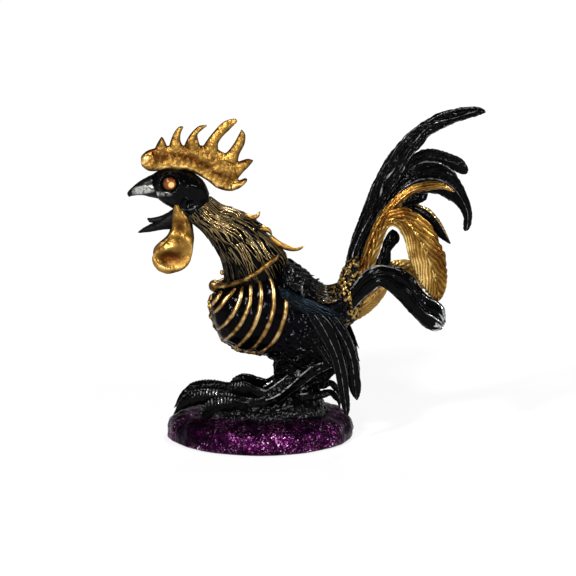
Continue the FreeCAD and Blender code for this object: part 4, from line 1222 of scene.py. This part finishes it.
def comb():
    """The crest: flames melted on a ridge, hollow along its foot; painted shade in the hollow, at the flame
    roots and on turned-away faces, painted highlights on the rim and front lobe.
    """
    parts = [shell(form(comb_ridge, comb_thickness, 0, 0.6, 40)[0])]
    parts += [shell(form(tapered(edges, flame_swell, 1), comb_thickness, 0, 0.5, 28)[0])
              for edges in comb_flames]
    crest = fused(parts, 0.42, 7)
    points = crest[0]
    facing = np.abs(flowing(crest)[:, 1])
    flat = held(facing * 1.6 - 0.4)
    relief = rumpled(points, comb_lumps) + 0.5 * pebbles(points, comb_pebble, 4) - 0.3
    u, v = seen(points)
    above = np.interp(u, *np.array(comb_ridge)[:, 2:4].T) - v
    rim, hollow, roots = (bell(above - height, reach) for height, reach in comb_bands.values())
    hollow = hollow * held((u - comb_ends[0]) / 8) * held((comb_ends[1] - u) / 8)
    roots = roots * held((u - comb_ends[0] - 7) / 8)
    relief = relief * flat + swell(points, 147, 160, 4, 1.2) + flat * (0.6 * rim - 0.8 * hollow)
    # Painted light and shade: a paler rim along the foot and a bright front lobe, darker in the hollow, at
    # the flame roots and round the lobe.
    bands = 0.25 * rim - 0.3 * hollow - 0.25 * roots + swell(points, 146, 159, 4, 0.5) \
        - 0.4 * bell(np.hypot(u - 148, v - 160) - 9, 3)
    # Faces that turn away sideways are painted darker as shade.
    return raised(crest, relief, relief * 0.3 + 1.3 * facing - 0.57 + bands)


wattle_rows = [(176, 205, 181, 206), (174, 213, 185, 213), (173, 222, 190, 221), (172, 232, 193, 231),
               (166, 243, 194, 242), (156, 252, 193, 251), (153, 261, 190, 262), (158, 270, 184, 269),
               (167, 274, 175, 273)]
wattle_swell = [0.6, 0.8, 1, 1, 1, 1, 1, 0.8, 0.4]
wattle_depth = -9
wattle_thickness = 5
wattle_dishes = [(2.4, (170, 12), (258, 6)), (1.5, (181, 4.5), (232, 16))]


def wattle():
    """A near wattle: a lobe with two dishes pressed in, a raised rim round them and a fold between; painted
    shade in the dishes and on turned-away edges, painted highlights on rim and fold.
    """
    lobe = melted(tapered(wattle_rows, wattle_swell, 1), wattle_thickness, wattle_depth, 0.4, 80, 0.4, 4)
    points = lobe[0]
    u, v = seen(points)
    near = held((wattle_depth - points[:, 1]) / 1.2 + 0.3)
    dish = sum(deep * bell(u - column, wide) * bell(v - row, high)
               for deep, (column, wide), (row, high) in wattle_dishes)
    raised_part = 1.2 * bell(np.hypot((u - 173) / 1.15, v - 252) - 17, 2.6) \
        + 1.3 * bell(u - 170, 9) * bell(v - 248 + 0.4 * (u - 170), 3)
    uneven = grain(points, 3.5, 3)
    relief = near * (raised_part - dish) + 0.2 * uneven + 0.08 * grain(points, 1.5, 6)
    # lit is painted light: paler on the rim and the fold, darker in the dishes; the edges that turn away are
    # painted darker as shade.
    lit = 0.55 + near * (0.35 * raised_part - 0.22 * dish) + 0.12 * uneven
    return raised(lobe, relief, lit - 0.3 * held(1 - np.abs(flowing(lobe)[:, 1])) ** 2)


wattle_gold = gold_paint("wattle_gold", size=2, depth=0.35, low=0.2, high=0.9, rough=0.34)
cast("comb", comb(), hammered_gold)
cast_pair("wattle", wattle(), wattle_gold)

# The wings: a shield of fine coverts on the flank, then secondaries, then three long primaries.
# They are thin cast feathers in gloss black with painted glints along their crests, the shield tinted
# blue-black with a painted blue-grey sheen.
shield_rows = [(279, 287, 281, 297, 0.6), (290, 291, 290, 304, 1), (301, 296, 300, 311, 1),
               (313, 301, 311, 317, 1), (326, 307, 323, 321, 0.9), (338, 313, 335, 323, 0.7),
               (344, 318, 342, 323, 0.4)]
shield_thickness = 7
secondary_rows = [(292, 305, 306, 312, 0.8), (296, 318, 316, 318, 1), (302, 330, 326, 327, 1),
                  (310, 342, 333, 338, 0.9), (319, 354, 340, 350, 0.8), (328, 366, 342, 363, 0.4)]
secondary_thickness = 4
primary_rows = [
    [(307, 314, 322, 314), (315, 328, 332, 326), (325, 345, 338, 340), (332, 360, 343, 356),
     (336, 378, 347, 374), (339, 394, 349, 392), (342, 408, 350, 408), (345, 416, 348, 416)],
    [(322, 316, 336, 317), (332, 330, 344, 328), (340, 345, 352, 342), (346, 362, 357, 358),
     (348, 378, 360, 376), (350, 391, 361, 390), (356, 400, 358, 400)],
    [(332, 315, 342, 321), (342, 326, 350, 336), (350, 340, 356, 350), (355, 355, 360, 362)],
]
primary_swell = [0.9, 1, 1, 1, 0.9, 0.8, 0.7, 0.3]
primary_thickness = 3.6
primary_lap = 0.8
covert_tiers = (0.0, 0.3, 0.55)
coverts = 15
covert_turns = (0.44, 1.04)
covert_sizes = (0.5, 1.5, 1.2)
secondary_count = 4
secondary_lead = 1.6
secondary_lap = 0.75
secondary_vane = 2.2
wing_root = (281, 293)
vane_step = 0.38
vane_grid = 0.42


def vane(rows, thickness, depths, barb=1.5, sweep=1.0, barb_height=0.3, streaks=0.0, streak_height=0.3,
         rough=0.12, fray=0.05, rim=False, shade=0.0, shaft=0.15, tip=0.0, lit_from=0.87, wander=0.1, seed=1):
    """A feather between its two edges: a raised shaft, barbs that sweep back from it and thin edges."""
    a, b, share, along = edges_of(rows, depths, vane_step)
    wide = np.linalg.norm(a - b, axis=-1) / 2
    half_sides = max(int(wide.max() * 2 / vane_grid), 14)
    x = np.linspace(0, 1, half_sides, endpoint=False)
    s = 0.45 * np.cos(math.pi * x) + 0.55 * (1 - 2 * x)
    s = np.concatenate([s, -s])
    front = np.repeat([-1.0, 1.0], half_sides)
    across = s * wide
    spots = np.stack([np.broadcast_to(along, across.shape), across, np.zeros_like(across)], -1)
    wobble = grain(spots, 6, seed) * 0.35 * barb
    barbs = crests((along - np.abs(across) * sweep + wobble) / barb)
    edge = held(1 - np.abs(s) ** 8)
    notch = 1 + fray * (barbs - 0.5 + grain(spots * (1, 0, 0), 5, seed + 9)) * np.abs(s) ** 3
    full = (1 - np.abs(s) ** 2.6) ** 0.55
    spine = bell(across, 0.9) * (front < 0)
    body = full * 0.63 + 0.37 * spine
    relief = barb_height * (barbs - 0.5) * edge * (1 - spine)
    ridge = 0.5 + 0.5 * (barbs - 0.5) * (barb_height > 0)
    if streaks:
        lines = crests(s * streaks + wander * grain(spots * (0.15, 1, 1), 2.6, seed + 2))
        relief = relief + streak_height * (lines - 0.5) * edge
        ridge = ridge * 0.15 + 0.85 * lines
    relief = relief + rumpled(spots, [(rough, 2.4, seed + 4), (rough, 1.1, seed + 5)])
    rings = (a + b) / 2 + (a - b) / 2 * (s * notch)[..., None]
    rings[..., 1] += thickness / 2 * share * body * front
    rings = pushed(rings, relief)
    if rim:
        return shell(rings, held((s - 0.55) * 5))
    # The ridge gets painted highlights along the shaft and the edges, and painted shade on one side by shade;
    # tip lightens the end from lit_from on.
    ridge = ridge + shaft * spine + 0.35 * np.abs(s) ** 6 - 0.1 - shade * (0.3 + s)
    return shell(rings, held(ridge + tip * held((along / along[-1] - lit_from) * 9)))


# Blue-black, with a painted blue-grey sheen along the crests of the coverts.
wing_blue = gloss_black("wing_sheen", tint=(0.0006, 0.0013, 0.002), wear_and_glint=(0.008, 0.013, 0.018), low=0.75,
                        rough=0.14, ease=0.2)


def wing_shield():
    """Three tiers of fine coverts, laid on a thin plate that follows the flank."""
    middle = np.array(shield_rows)[:, :4].reshape(-1, 2, 2).mean(1)
    rings = form(shield_rows, shield_thickness, flank(*middle.T), 0.5, 60)[0]
    parts = [shell(rings, 0.2)]
    for tier, start in enumerate(covert_tiers):
        turns = np.linspace(*covert_turns, coverts) + 0.02 * (tier % 2)
        parts.append(laid(rings, np.full(coverts, start), turns, *covert_sizes, sway=0.006, lift=0.35,
                          drift=0.01, seed=tier))
    return joined(parts)


def secondaries():
    """Four narrow feathers, lapped like tiles over a plain core."""
    start = flank(*wing_root)
    table = np.array(secondary_rows)
    a, b = table[:, :2], table[:, 2:4]
    parts = [shell(form(secondary_rows, secondary_thickness * 0.8, start + 0.4, 0.5, 40)[0], 0.2)]
    for number in range(secondary_count):
        share = number / secondary_count
        rows = table.copy()
        rows[:, :2] = b + (a - b) * (1 - share * 0.85)
        rows[:, 2:4] = b + (a - b) * max(0.66 - share * 0.88, 0)
        parts.append(vane(rows, secondary_vane, start - secondary_lead + secondary_lap * number, barb=5,
                          sweep=1.6, barb_height=0.2, streaks=1.5, streak_height=0.4, seed=number))
    return joined(parts)


def primaries():
    """Three long feathers, one behind another."""
    start = flank(*wing_root)
    parts = []
    for layer, edges in enumerate(primary_rows):
        depth = start + layer * primary_thickness * primary_lap - primary_thickness
        parts.append(vane(tapered(edges, primary_swell, 1), primary_thickness, depth, barb=7, sweep=2.2,
                          barb_height=0.2, streaks=2, streak_height=0.35, fray=0.02, seed=20 + layer))
    return joined(parts)


cast_pair("wing_shield", wing_shield(), wing_blue)
cast_pair("secondaries", secondaries(), feather_black)
cast_pair("primaries", primaries(), feather_black)

# The tail root: a knobbly knuckle that holds the tail feathers.
# Its knobs are cast with it and touched with gold, one by one.
tail_root_rows = [(333, 296, 338, 326, 0.7), (338, 284, 348, 325, 0.95), (342, 272, 356, 318, 1),
                  (347, 264, 361, 304, 0.95), (352, 259, 363, 288, 0.8), (357, 257, 363, 272, 0.5)]
tail_root_width = 21
fleck_size = 2.4


def flecked_paint():
    paint = Paint("gold_flecks", specular_ior_level=0.06)
    chosen = paint.span(paint.flakes(fleck_size)[0], 0.3, 0.6)
    touched = paint.calc("MULTIPLY", paint.span(paint.ridge(), 0.58, 0.95), chosen)
    tone = paint.blend(touched, (0.001, 0.001, 0.0012), (0.44, 0.27, 0.07))
    paint.bump(paint.noise(0.8, 3), 0.15, 0.6)
    return paint.finish(base_color=tone, metallic=paint.span(touched, 0, 1, 0, 0.9), roughness=0.22)


def tail_root():
    core = melted(tail_root_rows, tail_root_width, 0, 0.5, 90, 0.5, 2)
    knobs = pebbles(core[0], 2.6, 8)
    fine = pebbles(core[0], 1.4, 9)
    return raised(core, knobs * 1.7 + fine * 0.6 - 0.9, knobs * 0.7 + fine * 0.45)


cast("tail_root", tail_root(), flecked_paint())

# The tail: eleven cast feathers, glued into the root side by side and curling back and down.
# Black ones are enamelled, some fine barbed, and the gold ones are lacquered over combed barbs; their pale
# lines are painted highlights, and some have one side painted darker as shade.
tail_layer = 6.5
tail_feathers = {
    "sickle_tall": [(344, 276, 357, 276), (347, 254, 359, 255), (354, 231, 367, 234), (363, 206, 382, 210),
                    (374, 180, 396, 184), (388, 155, 409, 160), (402, 139, 421, 147), (419, 125, 428, 138),
                    (437, 115, 444, 129), (458, 110, 462, 122), (475, 109, 475, 118), (483, 113, 483, 115)],
    "sickle_barbed": [(395, 174, 402, 186), (409, 158, 412, 172), (423, 150, 424, 167), (436, 150, 438, 168),
                      (449, 154, 449, 170), (459, 158, 457, 173), (466, 165, 464, 175), (468, 170, 467, 173)],
    "sickle_high": [(353, 274, 360, 275), (359, 247, 369, 251), (370, 217, 384, 224), (383, 198, 396, 208),
                    (395, 180, 407, 200), (410, 168, 416, 195), (424, 162, 425, 194), (440, 163, 436, 195),
                    (453, 172, 448, 200), (463, 187, 457, 207), (470, 204, 463, 217), (472, 216, 463, 224),
                    (471, 225, 463, 229), (468, 230, 465, 231)],
    "stripe_gold": [(351, 282, 360, 284), (361, 257, 371, 258), (367, 239, 377, 242), (377, 217, 388, 222),
                    (391, 200, 400, 207), (409, 187, 413, 195), (428, 182, 429, 191), (442, 184, 442, 190),
                    (453, 192, 453, 193)],
    "feather_rimmed": [(386, 215, 390, 219), (398, 204, 401, 211), (411, 203, 409, 212), (422, 206, 418, 217),
                       (431, 211, 425, 223), (439, 220, 432, 230), (445, 230, 438, 237), (449, 239, 446, 242),
                       (451, 243, 450, 244)],
    "feather_curl": [(388, 210, 394, 217), (398, 200, 401, 209), (410, 195, 410, 206), (420, 194, 419, 204),
                     (427, 195, 425, 201)],
    "sickle_gold": [(350, 290, 359, 297), (361, 267, 371, 272), (370, 244, 380, 249), (377, 226, 386, 232),
                    (385, 213, 391, 227), (396, 209, 397, 229), (409, 210, 401, 235), (421, 217, 405, 246),
                    (432, 229, 409, 260), (441, 246, 415, 275), (446, 268, 422, 288), (446, 285, 428, 296),
                    (442, 296, 433, 300), (439, 300, 437, 301)],
    "feather_inner": [(352, 286, 361, 296), (360, 277, 370, 284), (376, 260, 389, 264), (381, 248, 391, 251),
                      (385, 237, 395, 246), (391, 230, 399, 241), (396, 231, 399, 235)],
    "feather_under": [(354, 290, 359, 300), (363, 277, 368, 292), (378, 267, 381, 283), (392, 261, 393, 279),
                      (404, 259, 406, 280), (414, 262, 414, 286), (424, 272, 420, 289), (428, 282, 425, 289)],
    "sickle_lower": [(350, 288, 353, 311), (357, 279, 361, 301), (365, 270, 370, 293), (376, 265, 379, 287),
                     (388, 265, 387, 291), (401, 269, 396, 298), (412, 276, 404, 307), (420, 287, 412, 316),
                     (428, 296, 420, 324), (438, 301, 428, 330), (444, 310, 436, 331), (445, 321, 441, 329)],
    "crescent_gold": [(342, 313, 341, 325), (352, 303, 355, 321), (361, 297, 366, 315), (370, 290, 376, 307),
                      (378, 285, 383, 298), (384, 285, 387, 291)],
}
feather_layers = {
    "sickle_tall": (0.6, 0.4), "sickle_barbed": (1.2, 2.4), "sickle_high": (1, 1.6),
    "stripe_gold": (-0.4, -0.2), "feather_rimmed": (0.5, 1.4), "feather_curl": (0, -0.4),
    "sickle_gold": (-1, -2.2), "feather_inner": (-0.3, 0.4), "feather_under": (0.2, 0.4),
    "sickle_lower": (-1.4, -3), "crescent_gold": (0.3, -0.4),
}
feather_thickness = 5
thick_feathers = {"sickle_tall": 6.4, "sickle_high": 6.4, "sickle_gold": 6.4, "sickle_lower": 12}
feather_taper = [0.8, 0.9, 1, 1, 1, 1, 1, 1, 1, 0.96, 0.92, 0.8, 0.6, 0.3]
combed_gold = gold_paint("combed_gold", bright=(0.33, 0.18, 0.036), dark=(0.07, 0.022, 0.003),
                         pale=(0.66, 0.45, 0.16), size=2.4, depth=0.15, low=0.05, high=0.85, crest=0.78,
                         rough=0.26, body=0.6, mottle=0.32)
smooth_gold = gold_paint("pale_gold", bright=(0.38, 0.24, 0.07), dark=(0.14, 0.065, 0.015), size=3,
                         depth=0.1, rough=0.4)
barbed_black = gloss_black("barbed_enamel", wear_and_glint=(0.03, 0.03, 0.03), low=0.7, rough=0.22)
streaked_black = gloss_black("streaked_enamel", wear_and_glint=(0.4, 0.4, 0.41), low=0.84, high=0.97, rough=0.1,
                             patch=2, grit=0.1)
lower_black = gloss_black("lower_enamel", wear_and_glint=(0.5, 0.51, 0.52), low=0.92, rough=0.08, patch=3, ease=0.02,
                          grit=0.06)
smooth_black = gloss_black("smooth_enamel", wear_and_glint=(0.24, 0.25, 0.26), low=0.88, rough=0.1, patch=3, grit=0.12)
rimmed_black = gloss_black("rimmed_with_gold", low=0.3, high=0.9, rough=0.14, gold=1.6, patch=30)
feather_looks = {
    "sickle_tall": (streaked_black, dict(barb=15, sweep=5, barb_height=0.6, streaks=2.5, streak_height=0.8,
                                         rough=0.18, wander=0.6)),
    "sickle_barbed": (barbed_black, dict(barb=3.6, sweep=1.1, barb_height=0.5)),
    "sickle_high": (smooth_black, dict(barb=8, sweep=2.5, barb_height=0.2, streaks=2, streak_height=0.35)),
    "stripe_gold": (combed_gold, dict(barb=7, sweep=3, barb_height=0.2, streaks=2, streak_height=0.3,
                                      rough=0.04, shade=0.15)),
    "feather_rimmed": (rimmed_black, dict(barb=4, sweep=1.6, barb_height=0.2, rim=True)),
    "feather_curl": (smooth_black, dict(barb=4, sweep=1.5, barb_height=0.2)),
    "sickle_gold": (combed_gold, dict(barb=7, sweep=2.5, barb_height=0.42, rough=0.08, fray=0.08, shade=0.3,
                                      shaft=0.4, tip=0.2, lit_from=0.42)),
    "feather_inner": (smooth_black, dict(barb=5, sweep=2, barb_height=0.25)),
    "feather_under": (smooth_gold, dict(barb=4.5, sweep=1.5, barb_height=0.25)),
    "sickle_lower": (lower_black, dict(barb=14, sweep=2.5, barb_height=0.3, streaks=2.5, streak_height=0.35,
                                       rough=0.06, wander=0.5, tip=1.1)),
    "crescent_gold": (smooth_gold, dict(barb=3, sweep=2, barb_height=0.06)),
}


def tail_feather(name):
    edges = tail_feathers[name]
    finish, looks = feather_looks[name]
    skin = vane(tapered(edges, feather_taper, 3), thick_feathers.get(name, feather_thickness),
                tail_layer * np.linspace(*feather_layers[name], len(edges)), seed=len(name), **looks)
    cast(name, skin, finish)


for feather_name in tail_feathers:
    tail_feather(feather_name)

# The armature: steel wires bent through the legs, the neck and the tail before the resin is poured.
# They are hidden in the finished piece, so they keep their drawn shape and get a drawn-steel finish.


def wire_steel():
    paint = Paint("drawn_steel", metallic=1.0)
    tone = paint.blend(paint.noise(2, 4), (0.32, 0.32, 0.33), (0.5, 0.5, 0.5))
    paint.bump(paint.noise(0.5, 3), 0.05, 0.4)
    return paint.finish(base_color=tone, roughness=paint.span(paint.noise(1.5), 0.3, 0.7, 0.25, 0.45))


steel = wire_steel()
for wire in ("leg_wire_near", "leg_wire_far", "neck_wire", "tail_wire"):
    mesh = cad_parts[wire].data
    mesh.materials.clear()
    mesh.materials.append(steel)
